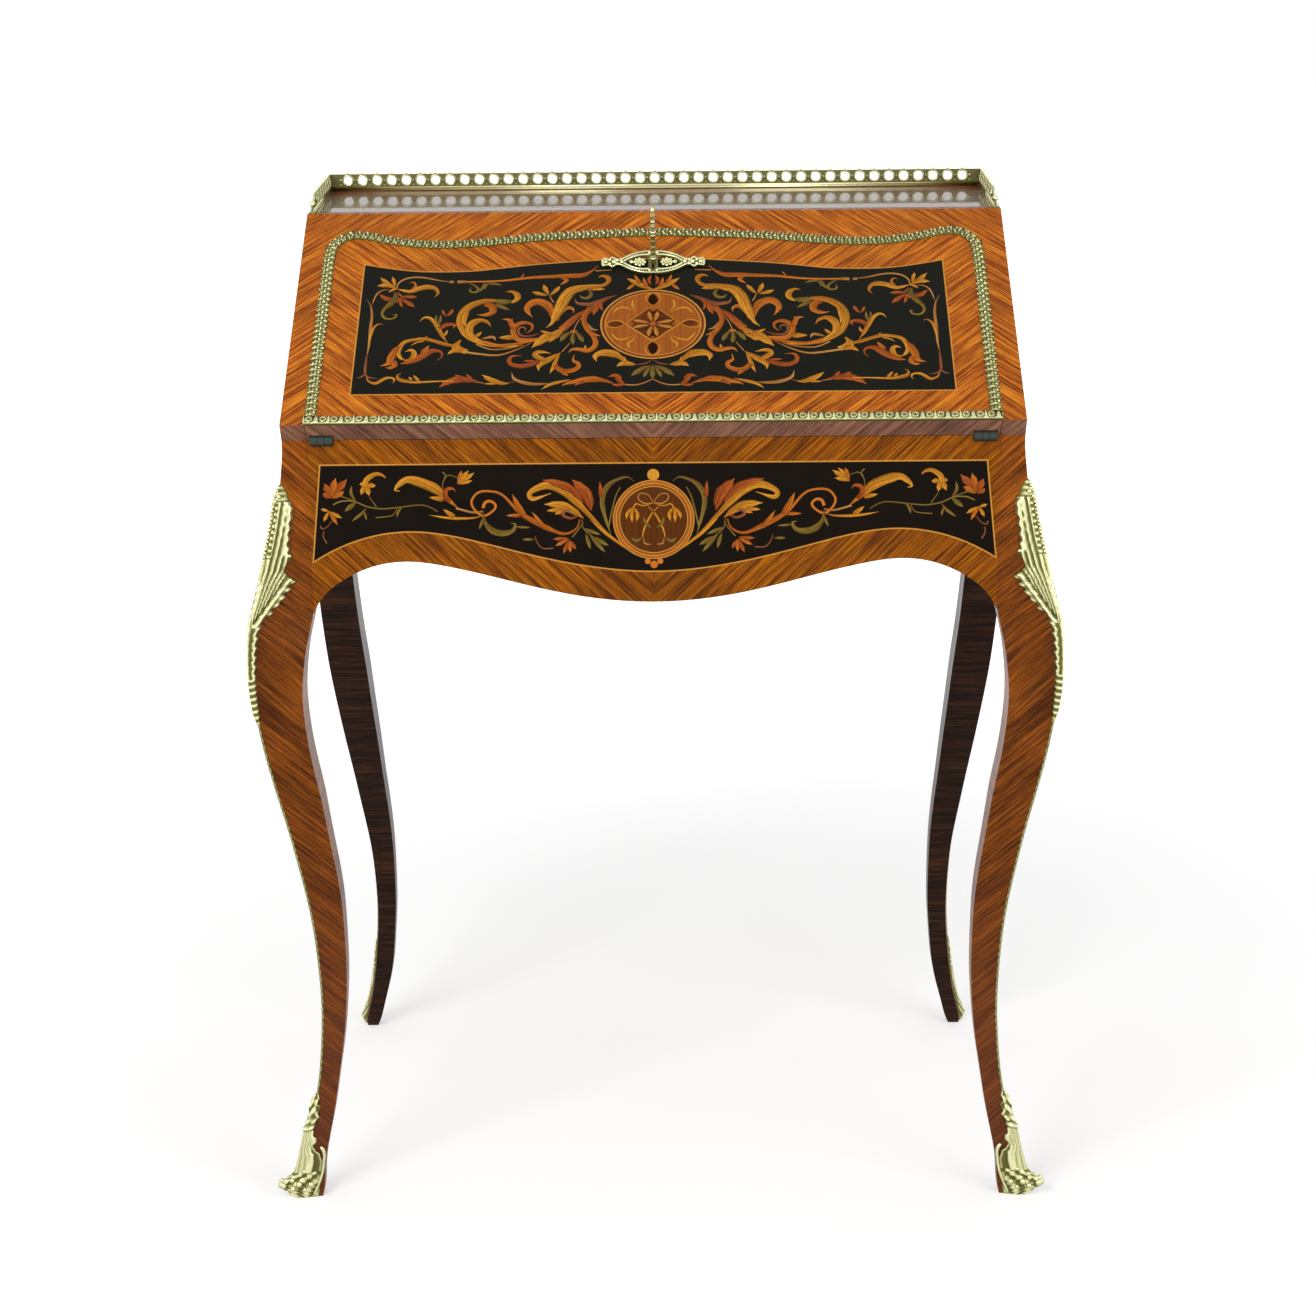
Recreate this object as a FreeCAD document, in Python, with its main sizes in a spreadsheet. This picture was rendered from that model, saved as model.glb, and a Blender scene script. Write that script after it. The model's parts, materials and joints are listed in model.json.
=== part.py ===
import FreeCAD, Part
import math
import os
import re
from types import SimpleNamespace

Vector = FreeCAD.Vector
doc = FreeCAD.newDocument("writing_desk")

# Driving sizes in millimetres. The origin is on the floor under the middle of the case,
# +X is to the user's right, -Y is the front and +Z is up.
SIZES = {
    # Case
    "case_width": 650,
    "case_depth": 400,
    "bed_height": 729,
    "case_rise": 161,
    "top_depth": 155,
    "top_thick": 14,
    "bed_thick": 12,
    "side_thick": 21.5,
    "frieze_thick": 18,
    "back_thick": 12,
    "bottom_drop": 107,
    "bottom_thick": 8,
    "rail_width": 46.6,
    # Aprons: how far the corners lie below the bed, and how far the highest point rises above them
    "apron_drop": 158,
    "apron_rise": 47.5,
    "side_apron_rise": 40,
    # Legs
    "block_length": 153,
    "block_depth": 34,
    "knee_out": 32,
    "leg_inset": 35,
    # Cast mounts on the legs
    "sabot_height": 100,
    "chute_drop": 39,
    "chute_height": 212,
    "mount_proud": 20,
    "mount_reach": 24,
    "mount_skin": 1.2,
    "fillet_proud": 1.8,
    "fillet_reach": 2.2,
    # Fall
    "fall_thick": 18,
    "fall_gap": 0.5,
    "hinge_gap": 0.3,
    # Brass moulding of the fall
    "moulding_width": 9,
    "moulding_height": 3.5,
    "moulding_edge": 1.6,
    "crest_drop": 31.6,
    # Marquetry panels let in flush
    "inlay_thick": 0.8,
    "fall_inlay_foot": 39.8,
    "fall_inlay_drop": 39.2,
    "fall_inlay_edge": 37.5,
    "frieze_inlay_edge": 2.5,
    "frieze_inlay_drop": 23,
    "frieze_inlay_height": 97.2,
    "frieze_inlay_rise": 37.7,
    # Leather
    "leather_thick": 1,
    "leather_edge": 43,
    "leather_foot": 42,
    "leather_drop": 6,
    # Fall hinges
    "hinge_edge": 3,
    "hinge_width": 20,
    "hinge_leaf": 34,
    "hinge_thick": 2.2,
    "knuckle_radius": 5,
    "knuckle_gap": 0.4,
    "pin_radius": 1.6,
    "pin_gap": 0.05,
    "screw_radius": 1.4,
    "screw_head": 2.6,
    "screw_length": 9,
    "screw_edge": 6,
    # Lock, key and escutcheon
    "lock_width": 70,
    "lock_wall": 8,
    "lock_inset": 1.5,
    "lock_deep": 10,
    "lock_gap": 0.2,
    "key_drop": 45,
    "key_radius": 2.2,
    "key_gap": 0.4,
    "key_stand": 41,
    "bow_width": 11,
    "bow_height": 27,
    "bow_thick": 3,
    "bit_reach": 9,
    "bit_width": 1.8,
    "bit_length": 4,
    "ward_gap": 1,
    "bolt_width": 16,
    "bolt_thick": 4.8,
    "bolt_seat": 2.9,
    "bolt_gap": 2,
    "bolt_throw": 8,
    "strike_width": 40,
    "strike_thick": 1.2,
    "strike_height": 10,
    "escutcheon_width": 95,
    "escutcheon_height": 31,
    "escutcheon_thick": 1.6,
    # Gallery
    "gallery_height": 16.5,
    "gallery_thick": 2,
    "gallery_inset": 4,
    "gallery_hole": 4.2,
    "gallery_pitch": 14.4,
    "gallery_rim": 1.8,
    "gallery_front_height": 8,
    "gallery_slope": 24,
    # Nest of drawers and pigeonholes
    "nest_set_back": 17,
    "nest_board": 6,
    "nest_floor_thick": 5,
    "nest_bay": 97,
    "shelf_rise": 50,
    # Drawers
    "drawer_gap": 0.5,
    "drawer_front_thick": 8,
    "drawer_side": 5,
    "drawer_base": 4,
    "drawer_back_gap": 6,
    "knob_radius": 6,
    "knob_stem": 2.5,
    "knob_stand": 11,
    # Well and its sliding cover
    "well_half": 150,
    "well_wall": 8,
    "well_front": 32,
    "well_rim": 8,
    "cover_lap": 10,
    "runner_height": 6,
    "runner_width": 20,
    "cover_gap": 0.3,
    "cover_drop": 0.5,
    "pull_radius": 10,
    "pull_depth": 4,
    # Overrun of every cut
    "over": 1,
}

sheet = doc.addObject("Spreadsheet::Sheet", "sizes")
for row, (name, number) in enumerate(SIZES.items(), start=1):
    sheet.set("A%d" % row, name)
    sheet.set("B%d" % row, str(number))
    sheet.setAlias("B%d" % row, name)
doc.recompute()
size = SimpleNamespace(**{name: float(sheet.get(name)) for name in SIZES})

# Places that follow from the driving sizes
half_width = size.case_width / 2
half_depth = size.case_depth / 2
inner_half = half_width - size.side_thick
fall_half = inner_half - size.fall_gap
top_front = half_depth - size.top_depth
top_height = size.bed_height + size.case_rise
board_low = top_height - size.top_thick
apron_height = size.bed_height - size.apron_drop
shelf_height = size.bed_height + size.shelf_rise
chute_foot = size.bed_height - size.chute_drop - size.chute_height

# The slope: the hinge line is the front upper edge of the frieze, and the outer face of the
# fall runs from there, one board thickness out, to the front edge of the top
slope_run = top_front + half_depth
slope_reach = math.hypot(slope_run, size.case_rise)
slope = math.atan2(size.case_rise, slope_run) - math.asin(size.fall_thick / slope_reach)
slope_length = math.sqrt(slope_reach ** 2 - size.fall_thick ** 2)
nose_y = -half_depth - size.fall_thick * math.sin(slope)
nose_z = size.bed_height + size.fall_thick * math.cos(slope)
slope_place = FreeCAD.Placement(Vector(0, nose_y, nose_z),
                                FreeCAD.Rotation(Vector(1, 0, 0), math.degrees(slope)))

# The top board butts against the slope rail where the rail's inner face meets its underside
board_front = -half_depth + (board_low - size.bed_height) / math.tan(slope)


# Places on the slope, measured down from its upper end: the crest is the middle line of the
# moulding over the fall, and the lock and the key hang from it
crest_height = slope_length - size.crest_drop
fall_top = crest_height + size.moulding_width / 2
key_height = crest_height - size.key_drop
ward_radius = size.bit_reach + size.ward_gap
lock_low = key_height - ward_radius - size.lock_wall
lock_top = fall_top - size.lock_inset
bolt_low = key_height + ward_radius + size.bolt_gap
bolt_end = lock_top - size.lock_gap

# The same places as formulas of the sheet
TOP_HEIGHT = "(bed_height + case_rise)"
BOTTOM_HEIGHT = "(bed_height - bottom_drop)"
SHELF_HEIGHT = "(bed_height + shelf_rise)"
CHUTE_FOOT = "(bed_height - chute_drop - chute_height)"
NEST_FRONT = "(case_depth / 2 - top_depth + nest_set_back)"
SLOPE_LENGTH = "sqrt((case_depth - top_depth) ^ 2 + case_rise ^ 2 - fall_thick ^ 2)"
KEY_HEIGHT = "(%s - crest_drop - key_drop)" % SLOPE_LENGTH
BOLT_LEVEL = "(fall_thick - hinge_gap - bolt_seat - bolt_thick)"
HINGE_INNER = "(case_width / 2 - side_thick - fall_gap - hinge_edge - hinge_width)"
COVER_THICK = "(bed_thick - cover_drop)"


def bind(item, prop, formula):
    """Bind a property to a formula of names in the sheet."""
    item.setExpression(prop, re.sub(r"[a-z][a-z_]*", lambda word: (
        "sizes." if word.group() in SIZES else "") + word.group(), formula))


def line(start, end):
    return Part.LineSegment(Vector(*start), Vector(*end))


def polygon(points):
    return [line(points[i - 1] + (0,), points[i] + (0,)) for i in range(len(points))]


def box_edges(low_x, low_y, high_x, high_y):
    return polygon([(low_x, low_y), (high_x, low_y), (high_x, high_y), (low_x, high_y)])


def circle(x, y, radius):
    return [Part.Circle(Vector(x, y, 0), Vector(0, 0, 1), radius)]


def curve(points):
    spline = Part.BSplineCurve()
    spline.interpolate([Vector(x, y, 0) for x, y in points])
    return spline


def closed_by(points, corners):
    """A spline through points, closed by straight edges over the corners."""
    path = [points[-1]] + corners + [points[0]]
    return [curve(points)] + [line(path[i] + (0,), path[i + 1] + (0,)) for i in range(len(path) - 1)]


def new_body(label, place=None):
    body = doc.addObject("PartDesign::Body", label)
    if place:
        body.Placement = place
    return body


def sketch(body, role, edges, start="0"):
    """A sketch on an origin plane of its body, moved along the plane's normal by start."""
    item = body.newObject("Sketcher::SketchObject", body.Name + "_sketch")
    plane = next(part for part in body.Origin.OriginFeatures if part.Role == role)
    item.AttachmentSupport = [(plane, "")]
    item.MapMode = "FlatFace"
    bind(item, "AttachmentOffset.Base.z", start)
    for edge in edges:
        item.addGeometry(edge, False)
    return item


def pad(body, role, edges, start, length):
    feature_sketch = sketch(body, role, edges, start)
    item = body.newObject("PartDesign::Pad", body.Name + "_pad")
    item.Profile = feature_sketch
    bind(item, "Length", length)
    return item


def pocket(body, role, edges, start, length, along=False):
    """Cut against the sketch plane's normal, or along it."""
    feature_sketch = sketch(body, role, edges, start)
    item = body.newObject("PartDesign::Pocket", body.Name + "_pocket")
    item.Profile = feature_sketch
    item.Reversed = along
    bind(item, "Length", length)
    return item


def panel(label, role, edges, start, length, place=None):
    body = new_body(label, place)
    pad(body, role, edges, start, length)
    return body


def mirrored(label, source, normal):
    item = doc.addObject("Part::Mirroring", label)
    item.Source = source
    item.Normal = Vector(*normal)
    return item


def group(label, parts):
    item = doc.addObject("Part::Compound", label)
    item.Links = parts
    return item


def cut(label, base, tool):
    item = doc.addObject("Part::Cut", label)
    item.Base = base
    item.Tool = tool
    return item


LEFT = (1, 0, 0)
nodes = []


def keep(*parts):
    nodes.extend(parts)


def both_sides(name, right):
    """Keep a right-hand piece and its mirror image on the left."""
    keep(right, mirrored(name + "_left", right, LEFT))


# Cabriole legs. Each row gives a share of the height below the leg's block, then how far the
# outer corner stands out of the case corner as a share of knee_out, how far in the inner face
# lies as a share of leg_inset, and how far each face falls back towards its inner edge as a share
# of knee_out.
FRONT_LEG_SHARES = [
    (0, .31, .17, .06), (.051, .22, .26, .06), (.101, .12, .40, .06), (.152, -.03, .57, .06),
    (.203, -.19, .70, .06), (.253, -.28, .83, .07), (.316, -.34, .94, .08), (.380, -.32, 1, .09),
    (.443, -.25, 1, .10), (.506, -.125, .97, .11), (.570, .06, .87, .12), (.633, .26, .74, .13),
    (.696, .49, .62, .14), (.759, .71, .46, .16), (.823, .89, .35, .18), (.873, .98, .32, .25),
    (.911, 1, .36, .42), (.949, .98, .45, .64), (.975, .93, .545, .80)]
BACK_LEG_SHARES = [
    (0, -.22, .57, .06), (.051, -.38, .83, .06), (.101, -.56, 1.04, .06), (.152, -.68, 1.19, .06),
    (.203, -.77, 1.27, .06), (.253, -.80, 1.33, .07), (.316, -.75, 1.34, .08),
    (.380, -.62, 1.31, .09), (.443, -.39, 1.21, .10), (.506, -.14, 1.07, .11),
    (.570, .125, .94, .12), (.633, .37, .80, .13), (.696, .59, .67, .14), (.759, .77, .52, .16),
    (.823, .91, .40, .18), (.873, .98, .34, .25), (.911, 1, .36, .42), (.949, .98, .45, .64),
    (.975, .93, .545, .80)]
# The leg's block in the case corner: share of its length, and share of knee_out as above
BLOCK_SHARES = [(0, .83), (.143, .65), (.286, .48), (.476, .28), (.667, .13), (.857, .03), (1, 0)]
# The share of height from which the leg grows deeper along Y than along X, up to its block
DEEPENING_SHARE = .823


def leg_rows(shares):
    """Height, outer corner, inner faces along X and Y, and set-back, at each section."""
    block_foot = size.bed_height - size.block_length
    rows = []
    for height, out, inner, back in shares:
        grown = max(0, (height - DEEPENING_SHARE) / (1 - DEEPENING_SHARE))
        deeper = (size.block_depth - size.side_thick) * grown ** 2 * (3 - 2 * grown)
        rows.append((height * block_foot, out * size.knee_out, inner * size.leg_inset,
                     inner * size.leg_inset + deeper, back * size.knee_out))
    for height, out in BLOCK_SHARES:
        out *= size.knee_out
        rows.append((block_foot + height * size.block_length, out, size.side_thick,
                     size.block_depth, out))
    return rows


def leg_at(rows, height):
    """The leg's sizes at any height, on a smooth curve through its rows."""
    i = max(1, next(k for k in range(1, len(rows)) if height <= rows[k][0] or k == len(rows) - 1))
    before, low, high = rows[max(i - 2, 0)], rows[i - 1], rows[i]
    after = rows[min(i + 1, len(rows) - 1)]
    step = high[0] - low[0]
    t = (height - low[0]) / step
    values = []
    for k in range(1, len(low)):
        rise_low = (high[k] - before[k]) / (high[0] - before[0]) * step
        rise_high = (after[k] - low[k]) / (after[0] - low[0]) * step
        values.append((2 * t ** 3 - 3 * t ** 2 + 1) * low[k] + (t ** 3 - 2 * t ** 2 + t) * rise_low
                      + (3 * t ** 2 - 2 * t ** 3) * high[k] + (t ** 3 - t ** 2) * rise_high)
    return values


def corner_point(out_x, out_y, front):
    """A point by its distances out of the right-hand case corner, front or back."""
    y = half_depth + out_y
    return (half_width + out_x, -y if front else y)


def loft(label, sections, ruled=False):
    """A body lofted through polygons, each given with its height as a formula."""
    body = new_body(label)
    sketches = [sketch(body, "XY_Plane", polygon(points), formula) for formula, points in sections]
    item = body.newObject("PartDesign::AdditiveLoft", label + "_loft")
    item.Profile = sketches[0]
    item.Sections = sketches[1:]
    item.Ruled = ruled
    return body


def leg(label, rows, front):
    sections = []
    for height, out, inner_x, inner_y, back in rows:
        points = [(out, out), (-inner_x, out - back), (-inner_x, -inner_y), (out - back, -inner_y)]
        sections.append(("bed_height * %.6f" % (height / size.bed_height),
                         [corner_point(x, y, front) for x, y in points]))
    body = loft(label, sections)
    # The block's inner faces are planed flat where the frieze, the side or the back butts on them
    x, y, reach = -size.side_thick, -size.block_depth, size.knee_out + size.over
    shavings = [(x, reach), (x, y), (reach, y), (reach, y - size.over),
                (x - size.over, y - size.over), (x - size.over, reach)]
    pocket(body, "XY_Plane", polygon([corner_point(*point, front) for point in shavings]),
           "bed_height", "apron_drop")
    return body


# Rows of the cast mounts: share of the mount's height, then how far it stands out of the leg's
# corner as a share of mount_proud, and how far it reaches over each face as a share of mount_reach
SABOT_SHARES = [(0, .40, .50), (.05, .78, .54), (.095, 1.12, .56), (.135, 1.26, .58), (.19, 1.10, .58),
                (.22, .77, .58), (.27, .56, .58), (.35, .54, .58), (.47, .46, .56), (.57, .40, .50),
                (.69, .40, .36), (.74, .36, .32), (.85, .29, .26), (1, .20, .20)]
BACK_SABOT_SHARES = [(0, .10, .30), (.05, .26, .42), (.12, .20, .46), (.22, .10, .42), (.50, .08, .36),
                     (.80, .07, .24), (1, .05, .15)]
CHUTE_SHARES = [(0, .10, .10), (.10, .14, .14), (.20, .19, .22), (.32, .22, .33), (.43, .20, .30),
                (.50, .20, .46), (.575, .21, .80), (.63, .21, 1), (.68, .22, .55), (.76, .23, .46),
                (.88, .22, .46), (.95, .19, .38), (1, .08, .17)]
FILLET_SHARES = [0, .14, .28, .43, .57, .71, .86, 1]
# The front sabots' toes point sideways: how far they stand forward, as a share of the sideways reach
SABOT_AHEAD = .25


# How deep a mount's blank is sunk into the leg before the leg is cut from it, as a share of reach
SINK_SHARE = .4


def mount_section(rows, height, proud, reach, front, ahead=1):
    """The outline of a mount that wraps the leg's outer corner, sunk a little into the leg. It
    stands forward by the share ahead of how far it stands sideways."""
    out, inner_x, inner_y, back = leg_at(rows, height)
    sink = SINK_SHARE * reach

    def face_points(inner):
        along = (-inner - out, -back)
        length = math.hypot(*along)
        along = (along[0] / length, along[1] / length)
        outward = (along[1], -along[0])
        edge = (out + reach * along[0], out + reach * along[1])
        return [(edge[0] + depth * outward[0], edge[1] + depth * outward[1])
                for depth in (-sink, size.mount_skin)]

    front_in, front_out = face_points(inner_x)
    side_in, side_out = [(y, x) for x, y in face_points(inner_y)]
    deep = out - 2 * sink
    corner = (out + proud, out + ahead * proud)
    points = [front_in, front_out, corner, side_out, side_in, (deep, deep)]
    return [corner_point(x, y, front) for x, y in points]


def mount(label, rows, shares, foot, height, front, wood, ahead=1):
    """A cast mount lofted round the leg's outer corner and cut to the leg."""
    sections = []
    for share, proud, reach in shares:
        level = foot[1] + share * height[1]
        sections.append(("%s + %s * %.3f" % (foot[0], height[0], share),
                         mount_section(rows, level, proud * size.mount_proud,
                                       reach * size.mount_reach, front, ahead)))
    return cut(label, loft(label + "_blank", sections, True), wood)


def fillet(label, rows, front, wood):
    """The thin brass fillet along the leg's outer corner, from the sabot up to the chute."""
    sections = []
    for share in FILLET_SHARES:
        level = size.sabot_height + share * (chute_foot - size.sabot_height)
        sections.append(("sabot_height + (%s - sabot_height) * %.3f" % (CHUTE_FOOT, share),
                         mount_section(rows, level, size.fillet_proud, size.fillet_reach, front)))
    return cut(label, loft(label + "_blank", sections, True), wood)


fillets = []
for end, shares in (("front", FRONT_LEG_SHARES), ("back", BACK_LEG_SHARES)):
    rows = leg_rows(shares)
    is_front = end == "front"
    wood = leg("leg_%s_right" % end, rows, is_front)
    both_sides("leg_" + end, wood)
    sabot = mount("sabot_%s_right" % end, rows, SABOT_SHARES if is_front else BACK_SABOT_SHARES,
                  ("0", 0), ("sabot_height", size.sabot_height), is_front, wood,
                  SABOT_AHEAD if is_front else 1)
    both_sides("sabot_" + end, sabot)
    chute = mount("chute_%s_right" % end, rows, CHUTE_SHARES, (CHUTE_FOOT, chute_foot),
                  ("chute_height", size.chute_height), is_front, wood)
    both_sides("chute_" + end, chute)
    strip = fillet("fillet_%s_right" % end, rows, is_front, wood)
    fillets += [strip, mirrored("fillet_%s_left" % end, strip, LEFT)]
keep(group("leg_fillets", fillets))

# Aprons: the serpentine lower edge from the corner to the middle, as shares of the half span and
# of the rise
APRON_SHARES = [(1, 0), (.96, .40), (.898, .695), (.812, .926), (.719, 1), (.614, .916),
                (.469, .695), (.323, .453), (.178, .274), (0, .19)]
SIDE_APRON_SHARES = [(1, 0), (.95, .38), (.88, .66), (.78, .88), (.66, 1), (.52, .98), (.36, .88),
                     (.18, .78), (0, .74)]


def two_sided(half):
    """Points of a curve given from its right end to the middle, with the left half added."""
    return [(-x, y) for x, y in half[:-1]] + half[::-1]


def apron_points(shares, half_span, rise):
    return two_sided([(x * half_span, apron_height + y * rise) for x, y in shares])


def knuckle_cut(body, role, centre, start, length):
    """Room for a hinge knuckle, whose axis is square to the sketch plane."""
    pocket(body, role, circle(*centre, size.knuckle_radius + size.knuckle_gap), start, length, True)


hinge_span = "hinge_width + 2 * knuckle_gap"
hinge_starts = (HINGE_INNER + " - knuckle_gap", "-(%s + hinge_width + knuckle_gap)" % HINGE_INNER)
hinge_inner = fall_half - size.hinge_edge - size.hinge_width
hinge_low = hinge_inner - size.knuckle_gap
hinge_high = hinge_inner + size.hinge_width + size.knuckle_gap

# Frieze with its apron
apron = apron_points(APRON_SHARES, inner_half, size.apron_rise)
frieze = panel("frieze_front", "XZ_Plane",
               closed_by(apron, [(inner_half, size.bed_height), (-inner_half, size.bed_height)]),
               "case_depth / 2 - frieze_thick", "frieze_thick")
FRIEZE_INLAY_SHARES = [(1, .297), (.924, .629), (.847, .854), (.774, .971), (.704, 1), (.598, .9),
                       (.458, .623), (.319, .337), (.173, .111), (0, 0)]
INLAY_TOP_SHARE = .969
inlay_half = inner_half - size.frieze_inlay_edge
inlay_top = size.bed_height - size.frieze_inlay_drop
inlay_foot = inlay_top - size.frieze_inlay_height
inlay_low = two_sided([(x * inlay_half, inlay_foot + y * size.frieze_inlay_rise)
                       for x, y in FRIEZE_INLAY_SHARES])
frieze_inlay_edges = closed_by(inlay_low, [(INLAY_TOP_SHARE * inlay_half, inlay_top),
                                           (-INLAY_TOP_SHARE * inlay_half, inlay_top)])
pocket(frieze, "XZ_Plane", frieze_inlay_edges, "case_depth / 2", "inlay_thick")
for start in hinge_starts:
    knuckle_cut(frieze, "YZ_Plane", (-half_depth, size.bed_height), start, hinge_span)


def leaf_recess(body):
    """Let both hinge leaves into the horizontal upper face at bed height."""
    for side in (1, -1):
        pocket(body, "XY_Plane",
               box_edges(side * hinge_low, -half_depth - size.over,
                         side * hinge_high, -half_depth + size.hinge_leaf + size.knuckle_gap),
               "bed_height", "hinge_thick")


leaf_recess(frieze)
keep(frieze, panel("frieze_inlay", "XZ_Plane", frieze_inlay_edges,
                   "case_depth / 2 - inlay_thick", "inlay_thick"))

# Case sides: the apron below, the slope and the top above, notched for the leg blocks
side_half = half_depth - size.block_depth
side_edges = closed_by(apron_points(SIDE_APRON_SHARES, side_half, size.side_apron_rise), [
    (side_half, size.bed_height), (half_depth, size.bed_height), (half_depth, board_low),
    (board_front, board_low), (board_front, top_height), (top_front, top_height),
    (nose_y, nose_z), (-half_depth, size.bed_height), (-side_half, size.bed_height)])
both_sides("side", panel("side_right", "YZ_Plane", side_edges, "case_width / 2 - side_thick",
                         "side_thick"))

# Back panel with its apron
back_edges = closed_by(apron_points(SIDE_APRON_SHARES, inner_half, size.side_apron_rise),
                       [(inner_half, board_low), (-inner_half, board_low)])
keep(panel("back_panel", "XZ_Plane", back_edges, "-case_depth / 2", "back_thick"))
back_inner = half_depth - size.back_thick

# Top board
keep(panel("top_board", "XY_Plane", box_edges(-half_width, board_front, half_width, half_depth),
           TOP_HEIGHT + " - top_thick", "top_thick"))

# Everything in the slope is drawn on the slope: X across, Y up the slope from the nose, Z out of
# the outer face. The crest is the middle line of the moulding over the top of the fall, as shares
# of its half width and of its height in the middle.
CREST_SHARES = [(1, .851), (.998, .900), (.993, .931), (.975, .966), (.938, .9935), (.892, .992),
                (.841, .9735), (.781, .956), (.707, .9425), (.633, .9395), (.559, .9455),
                (.482, .955), (.405, .967), (.332, .977), (.257, .984), (.181, .9895),
                (.104, .995), (0, 1)]
moulding_half = fall_half - size.moulding_width / 2
crest = two_sided([(x * moulding_half, y * crest_height) for x, y in CREST_SHARES])


def offset(points, distance):
    """The same line moved to its left by distance, with upright ends."""
    moved = []
    last = len(points) - 1
    for i, (x, y) in enumerate(points):
        before, after = points[max(i - 1, 0)], points[min(i + 1, last)]
        run, rise = after[0] - before[0], after[1] - before[1]
        length = math.hypot(run, rise)
        if i in (0, last):
            run, rise, length = 0, 1 if i == 0 else -1, 1
        moved.append((x - rise / length * distance, y + run / length * distance))
    return moved


def fall_edges(gap):
    """The fall's outline with a gap all round."""
    top = offset(crest, size.moulding_width / 2 + gap)
    return closed_by(top, [(fall_half + gap, size.hinge_gap - gap),
                           (-fall_half - gap, size.hinge_gap - gap)])


# Slope rail above the fall, cut to the fall's crest
def on_slope(y, z):
    """A point of the case's side view, in the slope's own axes."""
    run, rise = y - nose_y, z - nose_z
    return (run * math.cos(slope) + rise * math.sin(slope),
            rise * math.cos(slope) - run * math.sin(slope))


rail_start = slope_length - size.rail_width
rail = panel("slope_rail", "YZ_Plane",
             polygon([(rail_start, 0), (slope_length, 0), on_slope(board_front, top_height),
                      on_slope(board_front, board_low), (rail_start, -size.fall_thick)]),
             "-(case_width / 2 - side_thick)", "case_width - 2 * side_thick", slope_place)
pocket(rail, "XY_Plane", fall_edges(size.fall_gap), "over", "fall_thick + 2 * over")
strike_seat = fall_top + size.fall_gap + size.lock_gap + size.strike_thick
strike_start = "-(%s + bolt_thick / 2 + strike_height / 2)" % BOLT_LEVEL
strike_box = box_edges(-size.strike_width / 2, strike_seat - size.strike_thick,
                       size.strike_width / 2, strike_seat)
bolt_room = box_edges(-size.bolt_width / 2 - size.lock_gap, bolt_end,
                      size.bolt_width / 2 + size.lock_gap, bolt_end + size.bolt_throw + size.over)
bolt_start = "-(%s + bolt_thick + lock_gap)" % BOLT_LEVEL
bolt_deep = "bolt_thick + 2 * lock_gap"
pocket(rail, "XY_Plane", box_edges(-size.strike_width / 2, rail_start, size.strike_width / 2,
                                   strike_seat), strike_start, "strike_height", True)
pocket(rail, "XY_Plane", bolt_room, bolt_start, bolt_deep, True)
strike = panel("lock_strike", "XY_Plane", strike_box, strike_start, "strike_height", slope_place)
pocket(strike, "XY_Plane", bolt_room, bolt_start, bolt_deep, True)
keep(rail, strike)

# Fall board
fall = panel("fall_board", "XY_Plane", fall_edges(0), "-(fall_thick - hinge_gap)",
             "fall_thick - hinge_gap", slope_place)
FALL_INLAY_SHARES = [(.998, .974), (.92, .945), (.81, .917), (.70, .912), (.62, .917),
                     (.49, .946), (.34, .975), (.24, .988), (.18, .996), (0, 1.0)]
fall_inlay_half = fall_half - size.fall_inlay_edge
fall_inlay_rise = crest_height - size.fall_inlay_drop - size.fall_inlay_foot
fall_inlay_top = two_sided([(x * fall_inlay_half, size.fall_inlay_foot + y * fall_inlay_rise)
                            for x, y in FALL_INLAY_SHARES])
fall_inlay_edges = closed_by(fall_inlay_top, [(fall_inlay_half, size.fall_inlay_foot),
                                              (-fall_inlay_half, size.fall_inlay_foot)])
pocket(fall, "XY_Plane", fall_inlay_edges, "0", "inlay_thick")
leather_half = fall_half - size.leather_edge
leather_edges = box_edges(-leather_half, size.leather_foot, leather_half,
                          lock_low - size.leather_drop)
inner_face = "-(fall_thick - hinge_gap)"
pocket(fall, "XY_Plane", leather_edges, inner_face, "leather_thick", True)
lock_half = size.lock_width / 2
pocket(fall, "XY_Plane", box_edges(-lock_half, lock_low, lock_half, fall_top + size.over),
       inner_face, "lock_deep", True)
for start in hinge_starts:
    knuckle_cut(fall, "YZ_Plane", (0, -size.fall_thick), start, hinge_span)
for side in (1, -1):
    pocket(fall, "XY_Plane",
           box_edges(side * hinge_low, 0, side * hinge_high, size.hinge_leaf + size.knuckle_gap),
           "-fall_thick", "hinge_thick", True)


def keyhole(body, start, length, along=False):
    """The round hole for the key's stem with the slot for its bit below."""
    pocket(body, "XY_Plane", circle(0, key_height, size.key_radius + size.key_gap), start, length,
           along)
    slot_half = size.bit_width / 2 + size.lock_gap
    pocket(body, "XY_Plane",
           box_edges(-slot_half, key_height - size.bit_reach - size.lock_gap, slot_half, key_height),
           start, length, along)


keyhole(fall, "over", "fall_thick")
fall_inlay = panel("fall_inlay", "XY_Plane", fall_inlay_edges, "-inlay_thick", "inlay_thick",
                   slope_place)
keyhole(fall_inlay, "over", "inlay_thick + 2 * over")
keep(fall, fall_inlay)
keep(panel("leather_inset", "XY_Plane", leather_edges, inner_face, "leather_thick", slope_place))

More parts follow.
